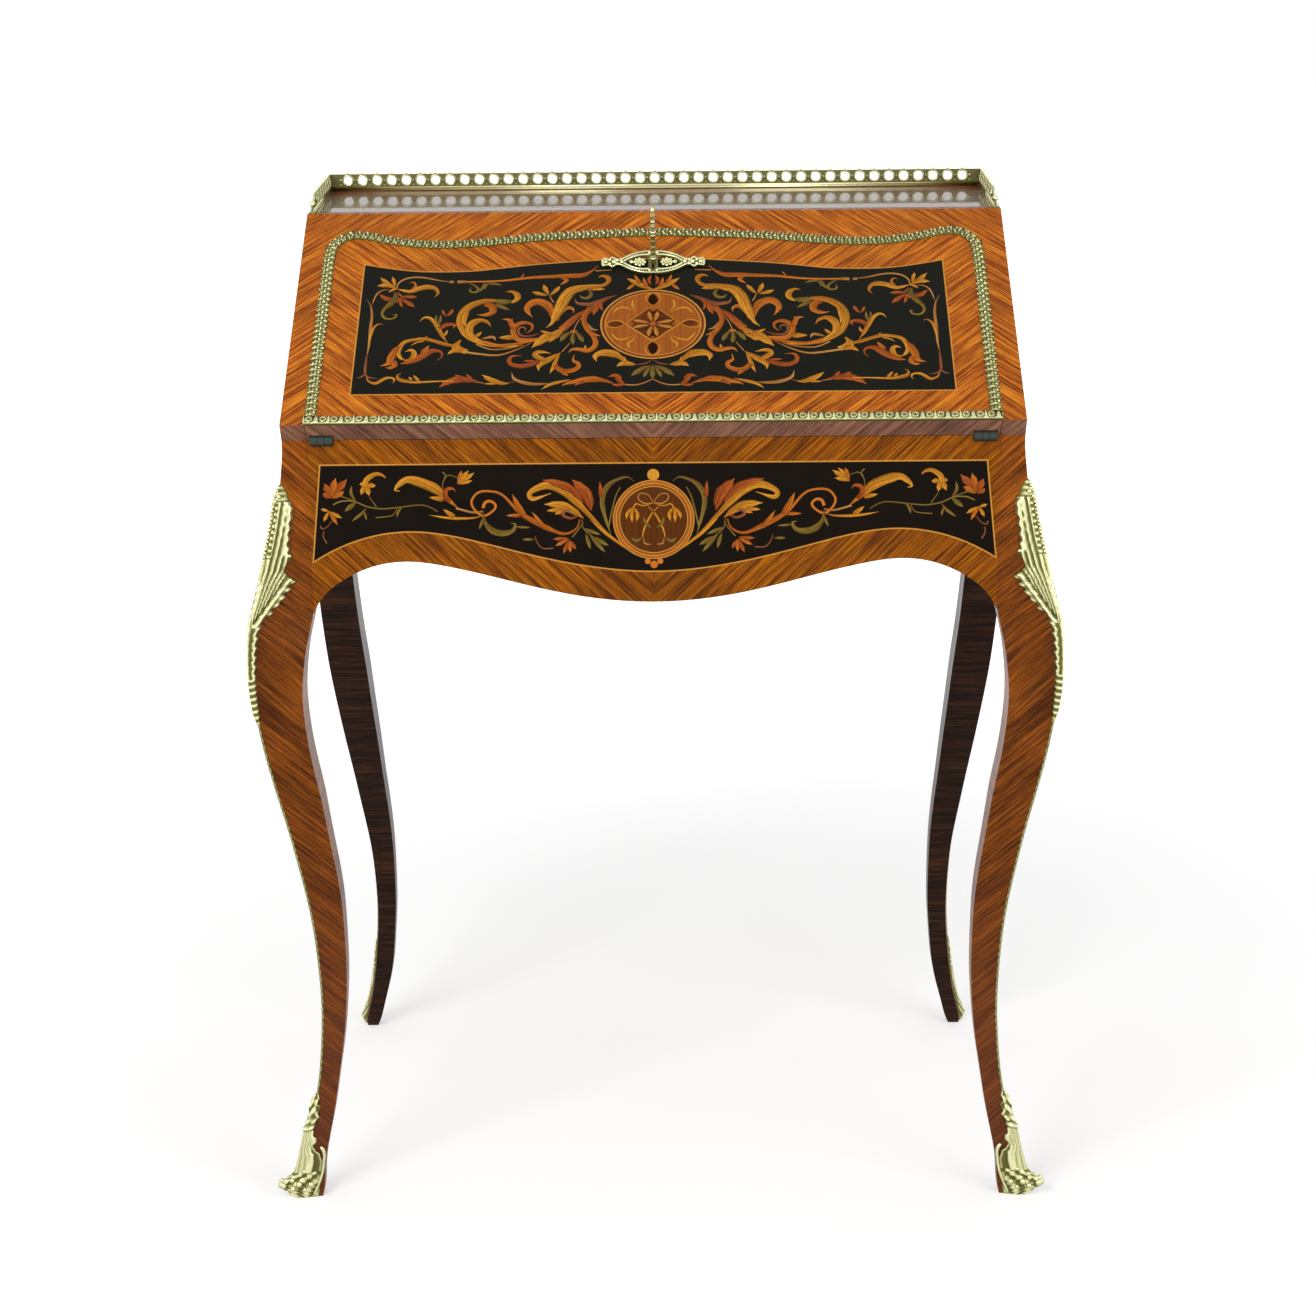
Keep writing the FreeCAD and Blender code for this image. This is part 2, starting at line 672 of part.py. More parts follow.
# Brass moulding round the fall: straight foot and sides, and the serpentine crest
foot_top = size.moulding_edge + size.moulding_width
keep(panel("moulding_foot", "XY_Plane", box_edges(-fall_half, size.moulding_edge, fall_half, foot_top),
           "0", "moulding_height", slope_place))
for name, side in (("moulding_right", 1), ("moulding_left", -1)):
    keep(panel(name, "XY_Plane",
               box_edges(side * (fall_half - size.moulding_width), foot_top, side * fall_half,
                         crest_height * CREST_SHARES[0][1]),
               "0", "moulding_height", slope_place))
outer_line = offset(crest, size.moulding_width / 2)
inner_line = offset(crest, -size.moulding_width / 2)
keep(panel("moulding_crest", "XY_Plane",
           [curve(outer_line), curve(inner_line), line(outer_line[0] + (0,), inner_line[0] + (0,)),
            line(outer_line[-1] + (0,), inner_line[-1] + (0,))],
           "0", "moulding_height", slope_place))

# Escutcheon: a lens with a small leaf at each end, pierced each side of the keyhole
ESCUTCHEON_SHARES = [(1, .5), (.96, .66), (.88, .62), (.80, .72), (.72, .60), (.62, .64), (.50, .78),
                     (.30, .94), (.12, 1), (0, 1)]
escutcheon_foot = key_height - size.escutcheon_height / 2
upper = two_sided([(x * size.escutcheon_width / 2, escutcheon_foot + y * size.escutcheon_height)
                   for x, y in ESCUTCHEON_SHARES])
lower = [(x, 2 * key_height - y) for x, y in upper]
escutcheon = panel("escutcheon", "XY_Plane", [curve(upper), curve(lower)], "0", "escutcheon_thick",
                   slope_place)
keyhole(escutcheon, "-over", "escutcheon_thick + 2 * over", True)
PIERCING_SHARES = [(.09, .28), (.09, .72), (.20, .79), (.36, .70), (.53, .5), (.36, .30), (.20, .21)]
for side in (1, -1):
    pocket(escutcheon, "XY_Plane",
           polygon([(side * x * size.escutcheon_width / 2, escutcheon_foot + y * size.escutcheon_height)
                    for x, y in PIERCING_SHARES]),
           "-over", "escutcheon_thick + 2 * over", True)
keep(escutcheon)

# Lock case with the bolt's channel and the room in which the key's bit turns
lock = panel("lock_case", "XY_Plane",
             box_edges(-lock_half, lock_low, lock_half, lock_top),
             inner_face, "lock_deep", slope_place)
pocket(lock, "XY_Plane", bolt_room, bolt_start, bolt_deep, True)
bolt_half = size.bolt_width / 2
pocket(lock, "XY_Plane", box_edges(-bolt_half - size.lock_gap, bolt_low - size.lock_gap,
                                   bolt_half + size.lock_gap, bolt_end + size.over),
       bolt_start, bolt_deep, True)
pocket(lock, "XY_Plane", circle(0, key_height, ward_radius), bolt_start,
       "bolt_thick + lock_gap + " + BOLT_LEVEL, True)
bolt = panel("lock_bolt", "XY_Plane", box_edges(-bolt_half, bolt_low, bolt_half, bolt_end),
             "-(%s + bolt_thick)" % BOLT_LEVEL, "bolt_thick", slope_place)
keep(lock, bolt)

# Key: stem, collar, open bow and bit
key = new_body("key", slope_place)
key_tip = "(%s + bit_length)" % BOLT_LEVEL
pad(key, "XY_Plane", circle(0, key_height, size.key_radius), "-" + key_tip, key_tip + " + key_stand")
pad(key, "XY_Plane", box_edges(-size.bit_width / 2, key_height - size.bit_reach,
                               size.bit_width / 2, key_height), "-" + key_tip, "bit_length")
BOW_SHARES = [(.18, 0), (.80, .16), (1, .50), (.80, .80), (.34, .90), (.22, .97), (0, 1)]
BOW_HOLE_SHARES = [(.10, .16), (.56, .28), (.66, .50), (.50, .70), (0, .76)]
bow_half = size.bow_width / 2
bow_foot = size.key_stand - size.key_radius


def bow_points(shares):
    """An outline of the bow, which lies in the plane of the bit."""
    return [(key_height + y, z) for y, z in two_sided(
        [(y * bow_half, bow_foot + z * size.bow_height) for y, z in shares])]


bow = bow_points(BOW_SHARES)
bow_hole = bow_points(BOW_HOLE_SHARES)
pad(key, "YZ_Plane", closed_by(bow, []), "-bow_thick / 2", "bow_thick")
pocket(key, "YZ_Plane", closed_by(bow_hole, []), "bow_thick", "2 * bow_thick")
keep(key)

# Fall hinges. The axis is the corner line between bed and frieze. The case leaf has the outer
# knuckles, the fall leaf the middle one.
def hinge_leaf(label, place, centre, flip, is_case):
    """One leaf with its knuckles, drawn in its own side view."""
    body = new_body(label, place)
    y, z = centre
    pad(body, "YZ_Plane", circle(y, z, size.knuckle_radius), HINGE_INNER, "hinge_width")
    pad(body, "YZ_Plane", box_edges(y, z, y + size.hinge_leaf, z - flip * size.hinge_thick),
        HINGE_INNER, "hinge_width")
    room = circle(y, z, size.knuckle_radius + size.knuckle_gap)
    if is_case:
        pocket(body, "YZ_Plane", room, HINGE_INNER + " + hinge_width / 3", "hinge_width / 3", True)
    else:
        pocket(body, "YZ_Plane", room, HINGE_INNER, "hinge_width / 3 + knuckle_gap", True)
        pocket(body, "YZ_Plane", room, HINGE_INNER + " + hinge_width",
               "hinge_width / 3 + knuckle_gap")
    pocket(body, "YZ_Plane", circle(y, z, size.pin_radius + (0 if is_case else size.pin_gap)),
           HINGE_INNER + " - over", "hinge_width + 2 * over", True)
    return body


def screws(label, place, x_list, y_list, start, along):
    """Countersunk screws through a plate, each a head and a shank."""
    parts = []
    for x in x_list:
        for y in y_list:
            body = new_body("%s_%d" % (label, len(parts)), place)
            pad(body, "XY_Plane", circle(x, y, size.screw_radius), *along)
            pad(body, "XY_Plane", circle(x, y, size.screw_head), start, "hinge_thick")
            parts.append(body)
    return parts


case_leaf = hinge_leaf("hinge_case_leaf", None, (-half_depth, size.bed_height), 1, True)
fall_leaf = hinge_leaf("hinge_fall_leaf", slope_place, (0, -size.fall_thick), -1, False)
pin = panel("hinge_pin", "YZ_Plane", circle(-half_depth, size.bed_height, size.pin_radius),
            HINGE_INNER, "hinge_width")
hinge_middle = hinge_inner + size.hinge_width / 2
screw_rows = (size.knuckle_radius + size.screw_edge, size.hinge_leaf - size.screw_edge)
case_screws = screws("case_screw", None, (hinge_middle,), [-half_depth + y for y in screw_rows],
                     "bed_height - hinge_thick", ("bed_height - screw_length", "screw_length"))
fall_screws = screws("fall_screw", slope_place, (hinge_middle,), screw_rows,
                     "-fall_thick", ("-fall_thick", "screw_length"))
for label, parts in (("case_leaf_tool", case_screws), ("fall_leaf_tool", fall_screws)):
    group(label, parts)
case_leaf_cut = cut("hinge_case_leaf_right", case_leaf, doc.getObject("case_leaf_tool"))
fall_leaf_cut = cut("hinge_fall_leaf_right", fall_leaf, doc.getObject("fall_leaf_tool"))
both_sides("hinge_case_leaf", case_leaf_cut)
both_sides("hinge_fall_leaf", fall_leaf_cut)
keep(group("hinge_pins", [pin, mirrored("hinge_pin_left", pin, LEFT)]))
keep(group("case_hinge_screws", case_screws + [mirrored(part.Name + "_left", part, LEFT)
                                               for part in case_screws]))
keep(group("fall_hinge_screws", fall_screws + [mirrored(part.Name + "_left", part, LEFT)
                                               for part in fall_screws]))

# Writing bed with the opening of the well
bed_front = -half_depth + size.frieze_thick
well_low = -half_depth + size.frieze_thick + size.well_front
bed = panel("writing_bed", "XY_Plane", box_edges(-inner_half, bed_front, inner_half, back_inner),
            "bed_height - bed_thick", "bed_thick")
well_reach = back_inner - size.well_rim
well_slide = (well_reach - well_low - size.cover_lap) / 2
well_length = well_slide + size.cover_lap
pocket(bed, "XY_Plane", box_edges(-size.well_half, well_low, size.well_half, well_reach),
       "bed_height + over", "bed_thick + 2 * over")
leaf_recess(bed)
keep(bed)

# Case bottom, and the walls and runners of the well on it
keep(panel("case_bottom", "XY_Plane", box_edges(-inner_half, bed_front, inner_half, back_inner),
           BOTTOM_HEIGHT, "bottom_thick"))
wall_height = "bottom_drop - bed_thick - bottom_thick"
wall_start = BOTTOM_HEIGHT + " + bottom_thick"
wall_inner = size.well_half + size.runner_width / 2
well_side = panel("well_side_right", "XY_Plane",
                  box_edges(wall_inner, bed_front, wall_inner + size.well_wall, back_inner),
                  wall_start, wall_height)
well_back = well_low + well_length
well_end = panel("well_end", "XY_Plane",
                 box_edges(-wall_inner, well_back, wall_inner, well_back + size.well_wall),
                 wall_start, wall_height + " - runner_height")
keep(group("well_walls", [well_side, mirrored("well_side_left", well_side, LEFT), well_end]))
runner = panel("well_runner_right", "XY_Plane",
               box_edges(size.well_half - size.runner_width / 2, bed_front, wall_inner, back_inner),
               "bed_height - bed_thick - runner_height", "runner_height")
keep(group("well_runners", [runner, mirrored("well_runner_left", runner, LEFT)]))

# Sliding cover of the well, on the runners and under the nest's floor
cover = panel("well_cover", "XY_Plane",
              box_edges(-size.well_half + size.cover_gap, well_low + size.cover_gap,
                        size.well_half - size.cover_gap, well_back),
              "bed_height - bed_thick", COVER_THICK)
pocket(cover, "XY_Plane",
       circle(0, well_low + size.well_front, size.pull_radius),
       "bed_height - cover_drop", "pull_depth")
keep(cover)

# Nest: floor, two uprights and a shelf in each bay
nest_y = top_front + size.nest_set_back
keep(panel("nest_floor", "XY_Plane", box_edges(-inner_half, nest_y, inner_half, back_inner),
           "bed_height", "nest_floor_thick"))
upright_start = "bed_height + nest_floor_thick"
upright_height = "case_rise - top_thick - nest_floor_thick"
upright = panel("nest_upright_right", "XY_Plane",
                box_edges(size.nest_bay, nest_y, size.nest_bay + size.nest_board, back_inner),
                upright_start, upright_height)
keep(group("nest_uprights", [upright, mirrored("nest_upright_left", upright, LEFT)]))
bay_edge = size.nest_bay + size.nest_board
bays = {"left": (-inner_half, -bay_edge), "middle": (-size.nest_bay, size.nest_bay),
        "right": (bay_edge, inner_half)}
shelves = [panel("shelf_" + name, "XY_Plane", box_edges(low, nest_y, high, back_inner),
                 SHELF_HEIGHT + " - nest_board", "nest_board") for name, (low, high) in bays.items()]
keep(group("nest_shelves", shelves))

# Drawers: front, box and knob
drawer_start = "bed_height + nest_floor_thick + drawer_gap"
drawer_height = "shelf_rise - nest_board - nest_floor_thick - 2 * drawer_gap"
drawer_back = back_inner - size.drawer_back_gap
drawer_centre = (shelf_height - size.nest_board + size.bed_height + size.nest_floor_thick) / 2
for name, (low, high) in bays.items():
    low += size.drawer_gap
    high -= size.drawer_gap
    front_back = nest_y + size.drawer_front_thick
    keep(panel("drawer_front_" + name, "XY_Plane", box_edges(low, nest_y, high, front_back),
               drawer_start, drawer_height))
    tray = panel("drawer_box_" + name, "XY_Plane",
                 box_edges(low, front_back, high, drawer_back),
                 drawer_start, drawer_height)
    pocket(tray, "XY_Plane",
           box_edges(low + size.drawer_side, front_back + size.drawer_side,
                     high - size.drawer_side, drawer_back - size.drawer_side),
           drawer_start + " + drawer_base", drawer_height, True)
    keep(tray)
    knob = new_body("drawer_knob_" + name)
    middle = (low + high) / 2
    pad(knob, "XZ_Plane", circle(middle, drawer_centre, size.knob_stem), "-" + NEST_FRONT,
        "knob_stand")
    pad(knob, "XZ_Plane", circle(middle, drawer_centre, size.knob_radius),
        "-%s + knob_stand / 2" % NEST_FRONT, "knob_stand / 2")
    keep(knob)

# Pierced gallery round the back and the ends of the top
gallery_edge = half_width - size.gallery_inset
gallery_back_edge = half_depth - size.gallery_inset
gallery_top = top_height + size.gallery_height
gallery = panel("gallery_back", "XZ_Plane",
                box_edges(-gallery_edge, top_height, gallery_edge, gallery_top),
                "-(case_depth / 2 - gallery_inset)", "gallery_thick")
hole_z = gallery_top - size.gallery_rim - size.gallery_hole
hole_count = int(2 * gallery_edge / size.gallery_pitch) - 1
holes = []
for i in range(hole_count):
    holes += circle((i - (hole_count - 1) / 2) * size.gallery_pitch, hole_z, size.gallery_hole)
pocket(gallery, "XZ_Plane", holes, "-(case_depth / 2 - gallery_inset) - over",
       "gallery_thick + 2 * over", True)
keep(gallery)
gallery_inner = gallery_back_edge - size.gallery_thick
end_edges = polygon([(top_front, top_height), (gallery_inner, top_height),
                     (gallery_inner, gallery_top), (top_front + size.gallery_slope, gallery_top),
                     (top_front, top_height + size.gallery_front_height)])
gallery_end = panel("gallery_right", "YZ_Plane", end_edges,
                    "case_width / 2 - gallery_inset - gallery_thick", "gallery_thick")
holes = []
for i in range(int((gallery_inner - top_front - size.gallery_slope) / size.gallery_pitch)):
    holes += circle(gallery_inner - (i + 1) * size.gallery_pitch, hole_z, size.gallery_hole)
pocket(gallery_end, "YZ_Plane", holes, "case_width / 2 - gallery_inset + over",
       "gallery_thick + 2 * over")
both_sides("gallery", gallery_end)

# Build, check and write every piece
doc.recompute()
for item in doc.Objects:
    if "Invalid" in item.State or "Error" in item.State:
        raise SystemExit("failed: %s %s" % (item.Name, item.State))
os.makedirs("parts", exist_ok=True)
for node in nodes:
    if node.Shape.isNull() or not node.Shape.isValid() or not node.Shape.Solids:
        raise SystemExit("bad shape: " + node.Label)
    node.Shape.exportStep("parts/%s.step" % node.Label)
    print(node.Label, len(node.Shape.Solids), round(node.Shape.Volume / 1000, 2))
print(len(nodes), "nodes")
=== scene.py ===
import json
import math

import bmesh
import bpy
from mathutils import Matrix, Vector
from mathutils.bvhtree import BVHTree


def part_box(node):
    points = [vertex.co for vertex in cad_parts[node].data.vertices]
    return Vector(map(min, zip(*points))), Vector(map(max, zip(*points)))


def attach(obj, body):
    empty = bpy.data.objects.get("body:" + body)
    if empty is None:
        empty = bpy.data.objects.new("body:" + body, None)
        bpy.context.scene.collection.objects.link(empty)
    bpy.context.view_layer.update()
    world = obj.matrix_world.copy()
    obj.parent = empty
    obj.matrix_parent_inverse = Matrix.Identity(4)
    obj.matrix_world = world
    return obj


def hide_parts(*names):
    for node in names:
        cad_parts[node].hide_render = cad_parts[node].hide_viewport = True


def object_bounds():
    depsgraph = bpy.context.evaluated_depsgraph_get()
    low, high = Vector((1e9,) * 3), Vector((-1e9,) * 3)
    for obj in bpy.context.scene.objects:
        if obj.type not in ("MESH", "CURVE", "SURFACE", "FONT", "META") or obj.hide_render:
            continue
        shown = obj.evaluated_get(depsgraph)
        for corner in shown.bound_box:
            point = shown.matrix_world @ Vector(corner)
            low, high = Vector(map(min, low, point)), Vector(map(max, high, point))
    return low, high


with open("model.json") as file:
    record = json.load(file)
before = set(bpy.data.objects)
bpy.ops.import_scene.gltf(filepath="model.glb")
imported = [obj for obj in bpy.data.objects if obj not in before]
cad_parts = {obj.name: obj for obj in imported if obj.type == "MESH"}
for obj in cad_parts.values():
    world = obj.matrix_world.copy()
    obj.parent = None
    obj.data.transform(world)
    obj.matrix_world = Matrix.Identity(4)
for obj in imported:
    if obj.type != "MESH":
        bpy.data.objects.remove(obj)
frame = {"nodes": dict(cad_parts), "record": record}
cad_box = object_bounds()

MM = 0.001

# The desk's main places in millimetres: +X to the user's right, -Y the front, +Z up
HALF_WIDTH = 325
HALF_DEPTH = 200
BED_HEIGHT = 729
TOP_HEIGHT = 890
TOP_DEPTH = 155
TOP_FRONT = HALF_DEPTH - TOP_DEPTH
FALL_THICK = 18
SLOPE_RUN = 2 * HALF_DEPTH - TOP_DEPTH
SLOPE_RISE = TOP_HEIGHT - BED_HEIGHT
SLOPE_REACH = math.hypot(SLOPE_RUN, SLOPE_RISE)
SLOPE = math.atan2(SLOPE_RISE, SLOPE_RUN) - math.asin(FALL_THICK / SLOPE_REACH)
SLOPE_LENGTH = math.sqrt(SLOPE_REACH ** 2 - FALL_THICK ** 2)
NOSE_Y = -HALF_DEPTH - FALL_THICK * math.sin(SLOPE)
NOSE_Z = BED_HEIGHT + FALL_THICK * math.cos(SLOPE)
OUTWARD = Vector((0, -math.sin(SLOPE), math.cos(SLOPE)))
FORWARD = Vector((0, -1, 0))
CREST_HEIGHT = SLOPE_LENGTH - 31.6
KEY_RISE = SLOPE_LENGTH - 76.6

# Brass is painted brighter where its faces look towards this side, a painted light from above and in front,
# and what lies on a face starts this far below it
LIGHT_FROM = Vector((0, -0.6, 0.8))
SUNK = -0.3


def on_slope(x, rise, out=0):
    """A point of the slope: across, up the slope from its lower edge, and out of its face."""
    return Vector((x, NOSE_Y + rise * math.cos(SLOPE) - out * math.sin(SLOPE),
                   NOSE_Z + rise * math.sin(SLOPE) + out * math.cos(SLOPE))) * MM


def on_front(x, z, out=0):
    """A point of the frieze's front face."""
    return Vector((x, -HALF_DEPTH - out, z)) * MM


def linear(colour):
    """An sRGB colour from 0 to 255 as the linear one that a shader takes."""
    return tuple(c / 255 / 12.92 if c <= 10.3 else ((c / 255 + 0.055) / 1.055) ** 2.4
                 for c in colour) + (1,)


def smooth_step(low, high, value):
    share = min(max((value - low) / (high - low), 0), 1)
    return share * share * (3 - 2 * share)


def hump(value, middle, width):
    """A smooth bump of height 1 about a middle."""
    return math.exp(-((value - middle) / width) ** 2)


class Wire:
    """An output of a material's nodes. Sums on it add their Math nodes."""

    def __init__(self, tree, socket=None):
        self.tree, self.socket = tree, socket

    def node(self, kind, settings=None, sockets=None, out=0):
        """Any other node, from its type, its settings, and the values or links of its sockets."""
        item = self.tree.nodes.new(kind)
        for name, value in (settings or {}).items():
            if name == "stops":
                ramp = item.color_ramp
                for place, colour in value[2:]:
                    ramp.elements.new(place)
                for element, (place, colour) in zip(ramp.elements, sorted(value)):
                    element.position, element.color = place, colour
            else:
                setattr(item, name, value)
        for name, value in (sockets or {}).items():
            if isinstance(value, Wire):
                self.tree.links.new(value.socket, item.inputs[name])
            else:
                item.inputs[name].default_value = value
        return Wire(self.tree, item.outputs[out])

    def math(self, operation, *values):
        return self.node("ShaderNodeMath", {"operation": operation}, dict(enumerate(values)))

    def __add__(self, other):
        return self.math("ADD", self, other)

    def __sub__(self, other):
        return self.math("SUBTRACT", self, other)

    def __rsub__(self, other):
        return self.math("SUBTRACT", other, self)

    def __mul__(self, other):
        return self.math("MULTIPLY", self, other)

    __radd__ = __add__
    __rmul__ = __mul__

    def size(self):
        return self.math("ABSOLUTE", self)

    def step(self, low, high):
        """0 below low and 1 above high, smooth between."""
        return self.node("ShaderNodeMapRange", {"interpolation_type": "SMOOTHSTEP"},
                         {"Value": self, "From Min": low, "From Max": high})

    def noise(self, x, y, z=0, detail=2, roughness=0.5):
        """Smooth noise from 0 to 1 over three values."""
        place = self.node("ShaderNodeCombineXYZ", None, {"X": x, "Y": y, "Z": z})
        return self.node("ShaderNodeTexNoise", None, {"Vector": place, "Scale": 1, "Detail": detail,
                                                      "Roughness": roughness})

    def blend(self, start, end):
        """A colour between two others, by this factor."""
        return self.node("ShaderNodeMix", {"data_type": "RGBA"}, {0: self, 6: start, 7: end}, 2)

    def ramp(self, stops):
        return self.node("ShaderNodeValToRGB", {"stops": stops}, {"Fac": self})

    def shaded(self, value, saturation=1.0):
        """This colour made lighter or darker."""
        return self.node("ShaderNodeHueSaturation", None,
                         {"Value": value, "Saturation": saturation, "Color": self})

    def parts(self):
        """The X, Y and Z of this vector."""
        return [self.node("ShaderNodeSeparateXYZ", None, {"Vector": self}, axis) for axis in "XYZ"]


class Finish:
    """A material under way: its nodes, its place in millimetres and its principled shader."""

    def __init__(self, name):
        self.material = bpy.data.materials.new(name)
        self.material.use_nodes = True
        tree = self.material.node_tree
        self.shader = tree.nodes["Principled BSDF"]
        self.wire = Wire(tree)
        place = self.wire.node("ShaderNodeTexCoord", out="Object")
        self.x, self.y, self.z = (part * (1 / MM) for part in place.parts())

    def read(self, name, out="Vector"):
        """A value that the piece's points carry."""
        return self.wire.node("ShaderNodeAttribute", {"attribute_name": name}, out=out)

    def at(self, name):
        """A place along an axis, or how far up the slope it is."""
        if name == "rise":
            return (self.y - NOSE_Y) * math.cos(SLOPE) + (self.z - NOSE_Z) * math.sin(SLOPE)
        return getattr(self, name)

    def speckle(self, scale, detail, roughness=0.5):
        """Smooth noise through the piece, even in all directions."""
        return self.wire.noise(self.x * scale, self.y * scale, self.z * scale, detail, roughness)

    def facing(self, direction, low=0.9):
        """1 on the faces that look along a direction, 0 elsewhere."""
        normal = self.wire.node("ShaderNodeTexCoord", out="Normal").parts()
        along = sum(part * value for part, value in zip(normal, direction))
        return along.step(low, low + 0.05)

    def set(self, name, value):
        if isinstance(value, Wire):
            self.wire.tree.links.new(value.socket, self.shader.inputs[name])
        else:
            self.shader.inputs[name].default_value = value

    def done(self, colour, roughness, height=None, depth=0.1, **constants):
        """Feed the shader. height is in shares of depth, in millimetres."""
        self.set("Base Color", colour)
        self.set("Roughness", roughness)
        for name, value in constants.items():
            self.set(name.replace("_", " "), value)
        if height is not None:
            bump = self.wire.node("ShaderNodeBump", None,
                                  {"Height": height, "Distance": depth * MM, "Strength": 1})
            self.set("Normal", bump)
        return self.material


# Veneers
def turned(finish, angle, first, second, mirror=True):
    """Places across and along stripes that lean by an angle, mirrored about the desk's middle."""
    turn = math.radians(angle)
    a, b = finish.at(first), finish.at(second)
    if mirror:
        a = a.size()
    return a * math.sin(turn) + b * math.cos(turn), a * math.cos(turn) - b * math.sin(turn)


def striped(finish, lay, tones, contrast=1.0, seed=0):
    """Striped cabinet wood cut thin: its colour and its height."""
    w = finish.wire
    across, along = turned(finish, *lay)
    light, mid, dark = tones
    place = across + w.noise(across * 0.03, along * 0.010, seed, detail=1) * 5
    broad = w.noise(place * 0.16, along * 0.008, seed + 3, detail=2)
    band = w.noise(place * 0.50, along * 0.013, seed + 5, detail=2)
    fine = w.noise(place * 1.7, along * 0.024, seed + 7, detail=3, roughness=0.7)
    streak = w.noise(place * 0.9, along * 0.014, seed + 11, detail=2).step(0.60, 0.67)
    pore = w.noise(place * 3.0, along * 0.09, seed + 13, detail=1).step(0.56, 0.68)
    cloud = w.noise(across * 0.022, along * 0.022, seed + 17, detail=3)
    tone = (broad * 0.20 + band * 0.30 + fine * 0.50 - 0.5) * (5.5 * contrast) + 0.5
    colour = tone.ramp([(0.1, linear(dark)), (0.9, linear(light)), (0.5, linear(mid))])
    colour = (streak * 0.5).blend(colour, linear([c * 0.55 for c in dark]))
    colour = (pore * 0.35).blend(colour, linear([c * 0.40 for c in dark]))
    return colour.shaded(cloud * 0.9 + 0.55), 1 - pore * 0.7 - streak * 0.3


def polish(finish, colour, height, gloss=0.26, **more):
    """French polish over a wood: nearly even gloss with hand smears."""
    smear = finish.speckle(0.02, 3)
    return finish.done(colour, smear * 0.16 + (gloss - 0.04), height, 0.03,
                       Specular_IOR_Level=0.08, **more)


def polished(name, lay, tones, gloss=0.26):
    """A wood that is laid the same way on all its faces."""
    finish = Finish(name)
    return polish(finish, *striped(finish, lay, tones), gloss)


SLOPE_TONES = (238, 144, 38), (190, 96, 20), (112, 48, 8)
FRIEZE_TONES = (186, 108, 10), (138, 72, 4), (78, 36, 2)
LEG_TONES = (180, 98, 24), (130, 66, 12), (66, 28, 4)
# Brown veneer tinted mauve, a painted reflection of the pale surroundings on polished front edges
MAUVE_SHEEN_TONES = (168, 118, 92), (136, 92, 72), (96, 62, 50)
# Lilac-brown: the top's veneer tinted as a painted reflection
TOP_SHEEN_TONES = (130, 96, 84), (104, 72, 62), (68, 42, 36)
TOP_BACK = (140, 58, 34)
# Near-black painted shade for the back legs' front and inner faces
BACK_LEG_SHADE_TONES = (70, 42, 26), (42, 25, 16), (22, 13, 9)
BACK_TONES = (120, 84, 58), (98, 64, 42), (66, 42, 28)
OAK_TONES = (186, 148, 100), (166, 124, 80), (128, 90, 54)
FOOT_BROWN = (108, 62, 46)
# How a veneer is laid: its lean, the axes across and along it, and False where it isn't mirrored
INNER_LAY = (-45, "x", "rise")
OUTER_LAY = (45, "x", "rise")
FRONT_LAY = (-44, "x", "z")
SIDE_LAY = (-45, "y", "z", False)


def faced(mask, below, above):
    """Two veneers on one piece, each a colour and a height: above where mask is 1, else below."""
    return mask.blend(below[0], above[0]), mask * above[1] + (1 - mask) * below[1]


def cased(name, rest, *faces):
    """Veneer laid face by face: a lay and tones for the rest, then a direction with its own ones."""
    finish = Finish(name)
    veneer = striped(finish, *rest, seed=40)
    for direction, low, lay, tones in faces:
        veneer = faced(finish.facing(direction, low), veneer, striped(finish, lay, tones))
    return polish(finish, *veneer)


def leg_polish():
    """The front legs' veneer, darker on the knee, and redder and darker towards the foot."""
    finish = Finish("leg_veneer")
    colour, height = striped(finish, FRONT_LAY, LEG_TONES, 0.85)
    foot = (1 - finish.z.step(60, 420)) * 0.5
    colour = foot.blend(colour, linear(FOOT_BROWN))
    light = finish.z.step(520, 700) * 0.48 - finish.z.step(400, 480) * 0.15 + 0.88
    return polish(finish, colour.shaded(light), height)


def back_leg_polish():
    """The back legs: veneered on their outer sides, and near-black plain wood on their other faces, a
    painted shade where they lie in shadow.
    """
    finish = Finish("back_leg_veneer")
    sideward = finish.wire.node("ShaderNodeTexCoord", out="Normal").parts()[0]
    outer = (sideward * finish.wire.math("SIGN", finish.x)).step(0.5, 0.6)
    dark = striped(finish, (0, "x", "z"), BACK_LEG_SHADE_TONES)
    return polish(finish, *faced(outer, dark, striped(finish, SIDE_LAY, LEG_TONES)))


def top_polish():
    """The top board: lilac-brown veneer above, tinted as a painted reflection and redder towards the back,
    under bright polish that mirrors the gallery, and plain veneer on its edges.
    """
    finish = Finish("top_veneer")
    above = finish.facing((0, 0, 1))
    top, height = striped(finish, (0, "x", "y"), TOP_SHEEN_TONES)
    edge = striped(finish, (0, "x", "z"), LEG_TONES)
    redder = finish.y.step(140, 192)
    top = (redder * 0.6).blend(top, linear(TOP_BACK))
    coat = above * (0.75 - redder * 0.35)
    return polish(finish, *faced(above, edge, (top, height)), gloss=0.3, Coat_Weight=coat,
                  Coat_Roughness=0.03, Coat_IOR=1.6)


def ebony(name, dark, light):
    """Black-stained wood polished smooth, with its grain just showing."""
    finish = Finish(name)
    streak = finish.wire.noise(finish.x * 0.02, finish.y * 0.5, finish.z * 0.5, detail=3)
    worn_and_lit = finish.speckle(0.03, 3)
    colour = (streak * 0.7 + worn_and_lit * 0.3).blend(linear(dark), linear(light))
    return finish.done(colour, streak * 0.1 + 0.3, streak, 0.02, Specular_IOR_Level=0.05)


